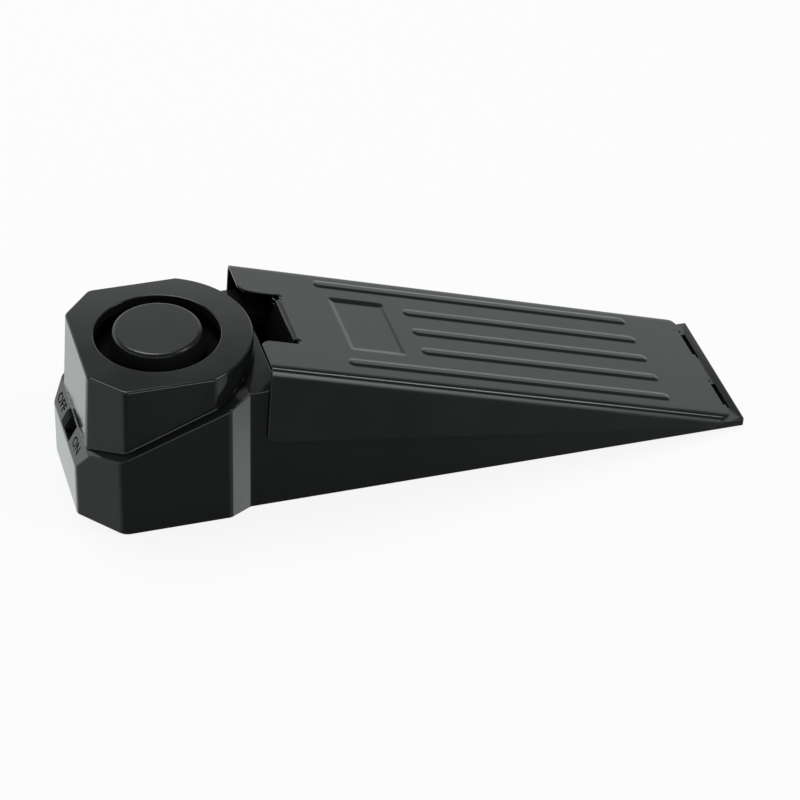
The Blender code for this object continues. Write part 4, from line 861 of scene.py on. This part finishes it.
def span(first, second):
    """The length of the diagonal over two sides."""
    return calculate("SQRT", first * first + second * second)


def beyond(rear, front, inner):
    """How far a place on the sheet lies outside two ends that are set in by a distance."""
    return calculate("MAXIMUM", inner - rear - along, along + front + inner)


pressing, given = new_tree("pressed_relief", vars(relief))
along, sideways, level = axes_of(value_of(pressing, "GeometryNodeInputPosition"))
off_middle = calculate("ABSOLUTE", sideways)
off_middle_rib = calculate("ABSOLUTE", sideways - given.aside)
lift = 0.0
for number, rear in enumerate((given.short_rib_rear, given.short_rib_rear, given.long_rib_rear)):
    past_end = calculate("MAXIMUM", beyond(rear, given.rib_front, given.rib_half))
    off_line = off_middle_rib - given.rib_pitch * number
    lift = lift + ease(span(past_end, off_line), given.rib_crown, given.rib_half, given.rib_height, 0.0)
past_end = beyond(given.panel_rear, given.panel_front, given.panel_corner)
past_side = off_middle_rib - given.panel_half + given.panel_corner
corner = span(calculate("MAXIMUM", past_end), calculate("MAXIMUM", past_side))
inside = calculate("MINIMUM", calculate("MAXIMUM", past_end, past_side))
rim_gap = corner + inside - given.panel_corner
lift = lift - ease(rim_gap, given.panel_slope * -1.0, 0.0, given.panel_depth, 0.0)
to_dimple = span(along + given.dimple_distance, off_middle - given.dimple_offset)
lift = lift - ease(to_dimple, 0.0, given.dimple_half, given.dimple_depth, 0.0)
on_top = value_of(pressing, "FunctionNodeCompare", {0: level, 1: given.sheet_top - level_margin})
close_tree(value_of(pressing, "GeometryNodeSetPosition", {
    "Geometry": given.geometry, "Selection": on_top, "Offset": vector(z=lift),
}), black_steel)


def spaced(marks, low, high):
    """Places from low to high: close together within each pair of marks, and far apart between them."""
    places = set()
    for start, end in marks:
        count = round((end - start) / fine_step)
        places.update(start + (end - start) * step / count for step in range(count + 1))
    ordered = [low]
    for place in sorted(places):
        if ordered[-1] + fine_step / 2 < place < high - fine_step / 2:
            ordered.append(place)
    ordered.append(high)
    filled = []
    for first, second in zip(ordered, ordered[1:]):
        parts = max(1, math.ceil((second - first) / coarse_step))
        filled.extend(first + (second - first) * part / parts for part in range(parts))
    return [*filled, high]


rib_marks = [
    (middle - relief.rib_half - support, middle + relief.rib_half + support)
    for middle in (number * relief.rib_pitch for number in range(-2, 3))
]
side_marks = [
    (-relief.panel_half - support, relief.panel_slope - relief.panel_half),
    (relief.panel_half - relief.panel_slope, relief.panel_half + support),
]
cross_marks = [(start + relief.aside, end + relief.aside) for start, end in rib_marks + side_marks]
dimple_line = -plate_length + notch_depth
length_marks = [
    (dimple_line - relief.dimple_half, dimple_line + 2 * relief.dimple_half),
    (-relief.long_rib_rear - support, -relief.long_rib_rear + relief.rib_half),
    (-relief.panel_rear - support, -relief.panel_rear + relief.panel_slope),
    (-relief.panel_front - relief.panel_slope, -relief.panel_front + support),
    (-relief.short_rib_rear - support, -relief.short_rib_rear + relief.rib_half),
    (-relief.rib_front - relief.rib_half, -relief.rib_front + support),
]


def folded(name, depth):
    """The plate as a solid down past the flanges' feet, its skin moved in by a depth."""
    top = plate_top - depth
    tight = bend_round - depth
    wide = flange_curve - depth
    crown = crown_curve - depth
    half = plate_half - depth
    soft_centre = (half - wide, 0)
    lean = math.radians(flange_lean)
    knee = (soft_centre[0] + wide * math.cos(lean), wide * math.sin(lean))
    bend_centre = (knee[0] - tight * math.cos(lean), knee[1] - tight * math.sin(lean))
    turn = math.radians(90 - crown_lean)
    crown_centre = (
        bend_centre[0] + (tight - crown) * math.cos(turn),
        bend_centre[1] + (tight - crown) * math.sin(turn),
    )
    drop = top - (crown_centre[1] + crown)
    curves = [
        *arc(soft_centre, wide, 0, flange_lean),
        *arc(bend_centre, tight, flange_lean, 90 - crown_lean, 10)[1:],
        *arc(crown_centre, crown, 90 - crown_lean, 90, 6)[1:],
    ]
    side = [(half, -flange_reach), *((y, z + drop) for y, z in curves)]
    flat = side[-1][0]
    rows = spaced(cross_marks, -flat, flat)[-2:0:-1]
    ring = [*side, *((y, top) for y in rows), *((-y, z) for y, z in reversed(side))]
    places = spaced(length_marks, -plate_length - end_margin, end_margin)
    made = loft(name, [[(x, y, z) for y, z in ring] for x in places])
    return press(made, pressing, {**vars(relief), "sheet_top": top})


def strip(name, path, radius, half_width, middle=0):
    """Sheet bent along a side path of x and z, its outer face on the path, its inside to the left."""
    spine = rounded([(*path[0], 0), *((x, z, radius) for x, z in path[1:-1]), (*path[-1], 0)])
    spine = [Vector(point) for point in spine]
    inner = []
    for index, point in enumerate(spine):
        ahead = (spine[min(index + 1, len(spine) - 1)] - point).normalized()
        behind = (point - spine[max(index - 1, 0)]).normalized()
        heading = (ahead + behind).normalized()
        inner.append(tuple(point + Vector((-heading.y, heading.x)) * sheet))
    outline = [tuple(point) for point in spine] + inner[::-1]
    sides = (middle - half_width, middle + half_width)
    return loft(name, [[(x, y, z) for x, z in outline] for y in sides])


rear_edge = -plate_length
bend_line = rear_edge + notch_depth
tongue_start = bend_line + tongue_round
half_plan = [
    (-tab_back, tab_near - tab_gap, 0), (-tab_back, tab_far + tab_gap, 0), (0, tab_far + tab_gap, 0),
    (0, plate_half, tip_round), (rear_edge, plate_half, 0), (rear_edge, notch_half, notch_round),
    (bend_line + relief_length, notch_half, 0), (bend_line + relief_length, tongue_half, 0),
    (tongue_start, tongue_half, 0),
]
right_plan = [(x, -y, radius) for x, y, radius in reversed(half_plan)]
plate_plan = rounded([*right_plan, (0, tab_gap - tab_near, 0), (0, tab_near - tab_gap, 0), *half_plan])
bend_foot = plate_top - sheet - bend_round
flange_side = rounded([
    (rear_edge, plate_top + 3 * sheet, 0), (rear_edge, plate_top, 0),
    *((x, plate_top - drop, radius) for x, drop, radius in flange_corners),
    (flange_step, bend_foot, flange_step_round), (0, bend_foot, 0), (0, plate_top + 3 * sheet, 0),
])
flush = plate_top - 2 * level_margin
plate = folded("pressure_plate_sheet", 0)
plan_tool = upright("plate_plan", plate_plan, *plan_tool_heights)
keep_within(plate, plan_tool, across("plate_side", flange_side))
cut(plate, folded("plate_inside", sheet))
join(plate, strip("tongue", [
    (tongue_start + relief_length, flush), (bend_line, flush), (bend_line, plate_top - tongue_length),
    (bend_line + tongue_hook, plate_top - tongue_length),
], tongue_round, tongue_half))
tab_foot = plate_top - sheet - tab_drop
for side in (1, -1):
    tab = strip("tab", [
        (tab_back + 2 * tongue_round, flush), (tab_back, flush), (tab_back, tab_foot),
        (tab_back + sheet + tab_hook, tab_foot - math.tan(plate_angle) * tab_hook),
    ], tongue_round, (tab_far - tab_near) / 2, side * (tab_far + tab_near) / 2)
    tab.data.transform(Matrix.Diagonal((-1, 1, 1, 1)))
    tab.data.flip_normals()
    join(plate, tab)
soften(plate, plate_edge_round, segments=1, angle=60)
settle(plate, weighted=False)
# The tongue's faces down in the notch get the darker matt black ABS: painted shade in the notch.
in_notch = [
    face.center.x < bend_line + tongue_round and abs(face.center.y) < notch_half
    and face.center.z < plate_top - 2 * sheet for face in plate.data.polygons
]
plate.data.transform(plate_frame)
fit(plate, black_steel, "plate", "black_painted_steel", "pressure_plate")
plate.data.materials.append(matt_shade_black_abs)
plate.data.polygons.foreach_set("material_index", in_notch)


# Switch slider: a small black ABS knob on a sliding foot, with three grip grooves across its top.
# It looks out of the slot in the shelf, and pushes the slide switch behind it from OFF to ON.
slider_round = 0.00012
grip_pitch = 0.0007
grip_width = 0.00028
grip_depth = 0.00030
knob_middle = -0.00175
knob_half = 0.0014
knob_width = 0.0035
knob_proud = 0.0004
grained_black_abs = procedural(
    "grained_black_abs", (0.0110, 0.0120, 0.0114), (0.0136, 0.0148, 0.0142), 90, (0.60, 0.70), 5200,
    0.000003, specular=0.15,
)
knob = copy_of("switch_slider", "switch_slider_knob")
join(knob, on_shelf(box_between(
    "knob_top", (knob_middle - knob_half, -knob_width / 2, -knob_proud),
    (knob_middle + knob_half, knob_width / 2, knob_proud),
)))
soften(knob, slider_round, segments=2, angle=40)
for number in (-1, 0, 1):
    groove_x = knob_middle + number * grip_pitch
    cut(knob, on_shelf(box_between(
        "grip_groove", (groove_x - grip_width / 2, -2 * knob_half, knob_proud - grip_depth),
        (groove_x + grip_width / 2, 2 * knob_half, 2 * knob_proud),
    )))
fit(settle(knob), grained_black_abs, "slider", "black_abs", "switch_slider")


# Sounder: a black ABS cup under the siren opening, in a darker matt black that paints the shade of
# the groove, holding a brass disc with a silvered ceramic face. The ceramic bends the disc, and the air
# under it makes the siren's tone.
brass = procedural(
    "rolled_brass", (0.52, 0.37, 0.14), (0.64, 0.47, 0.20), 140, (0.22, 0.34), 3000, 0.000003,
    metallic=1.0,
)
silvered = procedural(
    "silvered_ceramic", (0.70, 0.69, 0.64), (0.80, 0.79, 0.75), 220, (0.38, 0.52), 3600, 0.000004,
    metallic=0.6,
)


def finish(material, *nodes):
    """Gives CAD solids their finish."""
    for node in nodes:
        frame["nodes"][node].data.materials.clear()
        frame["nodes"][node].data.materials.append(material)


# The cup and the slide switch's case get the darker matt black: painted shade.
finish(matt_shade_black_abs, "sounder_cup", "slide_switch_case")
finish(brass, "piezo_plate")
finish(silvered, "piezo_ceramic")


# Circuit board: green glass epoxy with copper tracks under the mask, held by two screws. It carries
# the alarm chip, a transistor, a coil, a capacitor in a blue sleeve and two chip resistors.
track_green = (0.030, 0.170, 0.070)
track_pitch = 0.0022
track_share = 0.30
track_break = 3.0
can_grey = (0.62, 0.63, 0.64)
can_rim = 0.0001
can_top = 0.02625
chip_body_share = 0.32
ferrite = procedural(
    "sintered_ferrite", (0.028, 0.028, 0.030), (0.050, 0.050, 0.052), 400, (0.55, 0.72), 4200, 0.00001,
)
chip_epoxy = procedural(
    "chip_epoxy", (0.012, 0.012, 0.013), (0.022, 0.022, 0.023), 600, (0.42, 0.55), 5200, 0.000005,
)
green_board = procedural(
    "green_solder_mask", (0.012, 0.090, 0.035), (0.015, 0.105, 0.042), 300, (0.24, 0.34), 2600,
    0.000006,
)
sleeve = procedural(
    "blue_sleeve", (0.015, 0.022, 0.060), (0.020, 0.030, 0.078), 300, (0.20, 0.30), 2600, 0.000004,
    metallic=0.3,
)


def two_tone(material, factor, tone):
    """Lays a second colour over a finish where the factor is 1."""
    shader = material.node_tree.nodes["Principled BSDF"]
    first = Value(factor.tree, shader.inputs["Base Color"].links[0].from_socket)
    mixed = value_of(factor.tree, "ShaderNodeMixRGB", {0: factor, 1: first, 2: (*tone, 1.0)})
    feed(shader, {"Base Color": mixed})


def place_in(material):
    """The X, Y and Z of a point in the object's own frame."""
    return axes_of(value_of(material.node_tree, "ShaderNodeTexCoord", output="Object"))


x, y = place_in(green_board)[:2]
fine = calculate("PINGPONG", y / track_pitch, 1.0)
coarse = calculate("PINGPONG", x / track_pitch + y / track_pitch, track_break)
two_tone(green_board, calculate("LESS_THAN", fine * coarse, track_share), track_green)
two_tone(sleeve, calculate("GREATER_THAN", place_in(sleeve)[2], can_top - can_rim), can_grey)
finish(green_board, "circuit_board")
finish(chip_epoxy, "alarm_chip", "driver_transistor")
finish(ferrite, "step_up_coil")
finish(sleeve, "smoothing_capacitor")
for node in ("resistor_front", "resistor_rear"):
    low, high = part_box(node)
    chip = procedural(
        "body_of_" + node, (0.015, 0.015, 0.016), (0.024, 0.024, 0.026), 600, (0.30, 0.40), 5200,
        0.000003,
    )
    off_chip_middle = calculate("ABSOLUTE", place_in(chip)[0] - (low[0] + high[0]) / 2)
    ends = calculate("GREATER_THAN", off_chip_middle, (high[0] - low[0]) * chip_body_share)
    two_tone(chip, ends, can_grey)
    finish(chip, node)


# Trip switch: a black micro switch under the deck, with a spring steel lever that the plate pushes
# down and a small button under it. The lever swings and the button goes in as the plate is pressed.
spring_steel = procedural(
    "bright_spring_steel", (0.44, 0.45, 0.47), (0.58, 0.59, 0.61), 260, (0.22, 0.34), 3600, 0.000003,
    metallic=1.0,
)
switch_case = soften(copy_of("trip_switch_case", "trip_switch_body"), slider_round, 2, 40)
fit(settle(switch_case), chip_epoxy, "housing", "chip_epoxy", "trip_switch_case")
finish(spring_steel, "trip_lever")
finish(chip_epoxy, "trip_button")


# Return springs: two coils of spring steel wire with closed ends, in the wells of the deck under the
# plate's rear corners. They lift the plate after a press.
spring_radius = 0.0026
spring_wire = 0.0005
spring_turns = 6
turn_points = 24
wire_sides = 10
coil_sizes = {
    "coil_radius": spring_radius, "wire_radius": spring_wire / 2, "turns": float(spring_turns),
    "height": 0.0,
}


def stand_on(points, instance):
    """A copy of the instance on each of the points."""
    inputs = {"Points": points, "Instance": instance}
    return value_of(points.tree, "GeometryNodeInstanceOnPoints", inputs)


def markers(name, spots):
    """An object of loose points, for a node tree to stand pieces on."""
    mesh = bpy.data.meshes.new(name)
    mesh.from_pydata(spots, [], [])
    return placed(name, mesh)


coiling, given = new_tree("coiled_wire", coil_sizes)
line = value_of(coiling, "GeometryNodeMeshLine", {"Count": spring_turns * turn_points + 1})
share = value_of(coiling, "GeometryNodeInputIndex") / (spring_turns * turn_points)
angle = share * given.turns * (2 * math.pi)
coil_place = vector(
    calculate("COSINE", angle) * given.coil_radius, calculate("SINE", angle) * given.coil_radius,
    ease(share, 0.0, 1.0) * given.height,
)
coil = value_of(coiling, "GeometryNodeSetPosition", {"Geometry": line, "Position": coil_place})
wire_path = value_of(coiling, "GeometryNodeMeshToCurve", {"Mesh": coil})
wire_round = value_of(coiling, "GeometryNodeCurvePrimitiveCircle", {
    "Resolution": wire_sides, "Radius": given.wire_radius,
})
wire = value_of(coiling, "GeometryNodeCurveToMesh", {
    "Curve": wire_path, "Profile Curve": wire_round, "Fill Caps": True,
})
close_tree(stand_on(given.geometry, wire), spring_steel)
press_joint = next(joint for joint in frame["joints"] if joint["name"] == "plate_press")
full_press = math.radians(press_joint["range_deg"][1])
for node in ("return_spring_left", "return_spring_right"):
    low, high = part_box(node)
    foot = ((low[0] + high[0]) / 2, (low[1] + high[1]) / 2, low[2] + spring_wire / 2)
    spring = markers(node + "_coil", [foot])
    press(spring, coiling, {**coil_sizes, "height": high[2] - low[2] - spring_wire})
    fit(settle(spring, weighted=False), spring_steel, "housing", "spring_steel", node)
    drop = (press_joint["pos_m"][0] - low[0]) * math.tan(full_press)
    1 - drop / (high[2] - foot[2])
    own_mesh(spring)


# Battery: a plain 9 volt block in a blue grey lacquered jacket with a pale band at its terminals,
# under a snap of black vinyl. All the leads are stranded wire in coloured vinyl.
battery_round = 0.0004
band_pale = (0.36, 0.38, 0.40)
band_length = 0.0125
vinyl_finish = (400, (0.28, 0.40), 3000, 0.000006)
jacket = procedural(
    "battery_jacket", (0.052, 0.066, 0.085), (0.060, 0.075, 0.096), 120, (0.26, 0.36), 2600, 0.000003,
    metallic=0.5,
)
red_vinyl = procedural("red_vinyl", (0.48, 0.020, 0.018), (0.60, 0.032, 0.028), *vinyl_finish)
black_vinyl = procedural("black_vinyl", (0.012, 0.012, 0.012), (0.022, 0.022, 0.022), *vinyl_finish)
white_vinyl = procedural("white_vinyl", (0.66, 0.66, 0.63), (0.76, 0.76, 0.73), *vinyl_finish)
low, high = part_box("battery")
two_tone(jacket, calculate("LESS_THAN", place_in(jacket)[0], low[0] + band_length), band_pale)
battery = soften(copy_of("battery", "battery_block"), battery_round, segments=3, angle=50)
fit(settle(battery), jacket, "housing", "battery_jacket", "battery")
finish(red_vinyl, "battery_lead_red", "sounder_lead_red")
finish(black_vinyl, "battery_lead_black", "sounder_lead_black", "battery_snap")
finish(white_vinyl, "switch_lead_left", "switch_lead_right", "trip_lead_left", "trip_lead_right")


# Bottom cover: a black ABS plate that closes the housing from below, held by six screws. The battery
# door fills its opening, hooked in at the front, with a latch and grip lines at the rear.
cover_edge_round = 0.00018
door_grip_start = 0.0066
door_grips = {"count": 5, "pitch": 0.0013, "width": 0.0006, "length": 0.0120, "depth": 0.0003}
grip_tree, given = new_tree("grip_lines", door_grips)
bar = value_of(grip_tree, "GeometryNodeMeshCube", {
    "Size": vector(given.width, given.length, given.depth * 2.0),
})
row = value_of(grip_tree, "GeometryNodeMeshLine", {"Count": given.count, "Offset": vector(given.pitch)})
close_tree(stand_on(row, bar), black_abs)


def grip_lines(start, height, sizes):
    """Cutters for a row of grooves up into a flat underside, from the first groove forwards."""
    made = markers("grip_lines", [])
    made.location = (start, 0, height)
    return press(made, grip_tree, sizes)


bottom_cover = soften(copy_of("bottom_cover", "bottom_cover_plate"), cover_edge_round, 2, 40)
fit(settle(bottom_cover), black_abs, "housing", "black_abs", "bottom_cover")
low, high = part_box("battery_door")
door = soften(copy_of("battery_door", "battery_door_leaf"), cover_edge_round, 2, 40)
cut(door, grip_lines(low[0] + door_grip_start, low[2], door_grips))
fit(settle(door), black_abs, "door", "black_abs", "battery_door")


# Pads: three black rubber pads glued under the wedge, with fine cross grooves that keep it from
# sliding. The grooves end before the pads' sides.
pad_round = 0.00025
groove_pitch = 0.0016
groove_width = 0.0005
groove_depth = 0.0003
rubber = procedural(
    "black_rubber", (0.012, 0.012, 0.012), (0.020, 0.020, 0.020), 160, (0.62, 0.80), 2600, 0.00002,
)
for node, margin in (("rear_pad", 0.0012), ("front_pad", 0.0020), ("tip_pad", 0.0012)):
    low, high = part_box(node)
    pad = soften(copy_of(node, node + "_grooved"), pad_round, segments=3, angle=50)
    count = int((high[0] - low[0] - 2 * margin) / groove_pitch) + 1
    first = (low[0] + high[0] - (count - 1) * groove_pitch) / 2
    cut(pad, grip_lines(first, low[2], {
        "count": count, "pitch": groove_pitch, "width": groove_width,
        "length": high[1] - low[1] - 2 * margin, "depth": groove_depth,
    }))
    fit(settle(pad), rubber, "housing", "black_rubber", node)


# Screws: ten zinc plated self-tapping screws with crowned heads and cross recesses. Six hold the
# bottom cover, two hold the head cover from inside and two hold the circuit board.
zinc = procedural(
    "zinc_plated_steel", (0.50, 0.51, 0.53), (0.62, 0.63, 0.65), 300, (0.26, 0.38), 3600, 0.000003,
    metallic=1.0,
)
head_sides = 40
shank_sides = 24
turn_steps = 14
screw_sizes = {
    "head_radius": 0.0021, "crown_radius": 0.0015, "head_height": 0.0009, "core_radius": 0.00088,
    "thread_pitch": 0.0009, "thread_radius": 0.00026, "point_length": 0.0012,
    "recess_length": 0.0021, "recess_width": 0.00046, "recess_depth": 0.0006,
}
screw_tree, given = new_tree("cross_screws", {**screw_sizes, "length": 0.0})


def cone(sides, top, bottom, depth):
    """A cone that stands on its base."""
    return value_of(screw_tree, "GeometryNodeMeshCone", {
        "Vertices": sides, "Radius Top": top, "Radius Bottom": bottom, "Depth": depth,
    })


def raised(geometry, height, turn=0.0):
    """The geometry moved up by a height and turned about its own upright axis."""
    return value_of(screw_tree, "GeometryNodeTransform", {
        "Geometry": geometry, "Translation": vector(z=height), "Rotation": (0, 0, turn),
    })


slot = value_of(screw_tree, "GeometryNodeMeshCube", {
    "Size": vector(given.recess_length, given.recess_width, given.recess_depth * 2.0),
})
head = add_node(screw_tree, "GeometryNodeMeshBoolean", {
    "Mesh 1": cone(head_sides, given.head_radius, given.crown_radius, given.head_height),
}, operation="DIFFERENCE", solver="EXACT")
for turn in (0.0, math.pi / 2):
    feed(head, {"Mesh 2": value_of(screw_tree, "GeometryNodeTransform", {
        "Geometry": slot, "Rotation": (0, 0, turn),
    })})
shank_length = given.length - given.point_length
shank = cone(shank_sides, given.core_radius, given.core_radius, shank_length)
point = cone(shank_sides, 0.0, given.core_radius, given.point_length)
thread_start = given.head_height * 2.0
thread_length = shank_length - thread_start
helix = value_of(screw_tree, "GeometryNodeCurveSpiral", {
    "Resolution": turn_steps, "Rotations": thread_length / given.thread_pitch,
    "Start Radius": given.core_radius, "End Radius": given.core_radius, "Height": thread_length,
})
thread_section = value_of(screw_tree, "GeometryNodeCurvePrimitiveCircle", {
    "Resolution": 3, "Radius": given.thread_radius,
})
thread = value_of(screw_tree, "GeometryNodeCurveToMesh", {
    "Curve": helix, "Profile Curve": thread_section, "Fill Caps": True,
})
whole = screw_tree.nodes.new("GeometryNodeJoinGeometry")
stem = (shank, raised(point, shank_length), raised(thread, thread_start))
for made in (Value(screw_tree, head.outputs[0]), *stem):
    feed(whole, {0: made})
close_tree(stand_on(given.geometry, Value(screw_tree, whole.outputs[0])), zinc)

for kind in ("rear_screw", "head_screw", "middle_screw", "tip_screw", "board_screw"):
    boxes = [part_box(f"{kind}_{side}") for side in ("left", "right")]
    spots = [((low[0] + high[0]) / 2, (low[1] + high[1]) / 2, low[2]) for low, high in boxes]
    screws = markers(kind + "s", spots)
    press(screws, screw_tree, {**screw_sizes, "length": boxes[0][1][2] - boxes[0][0][2]})
    fit(settle(screws), zinc, "housing", "zinc_plated_steel", kind + "_left", kind + "_right")
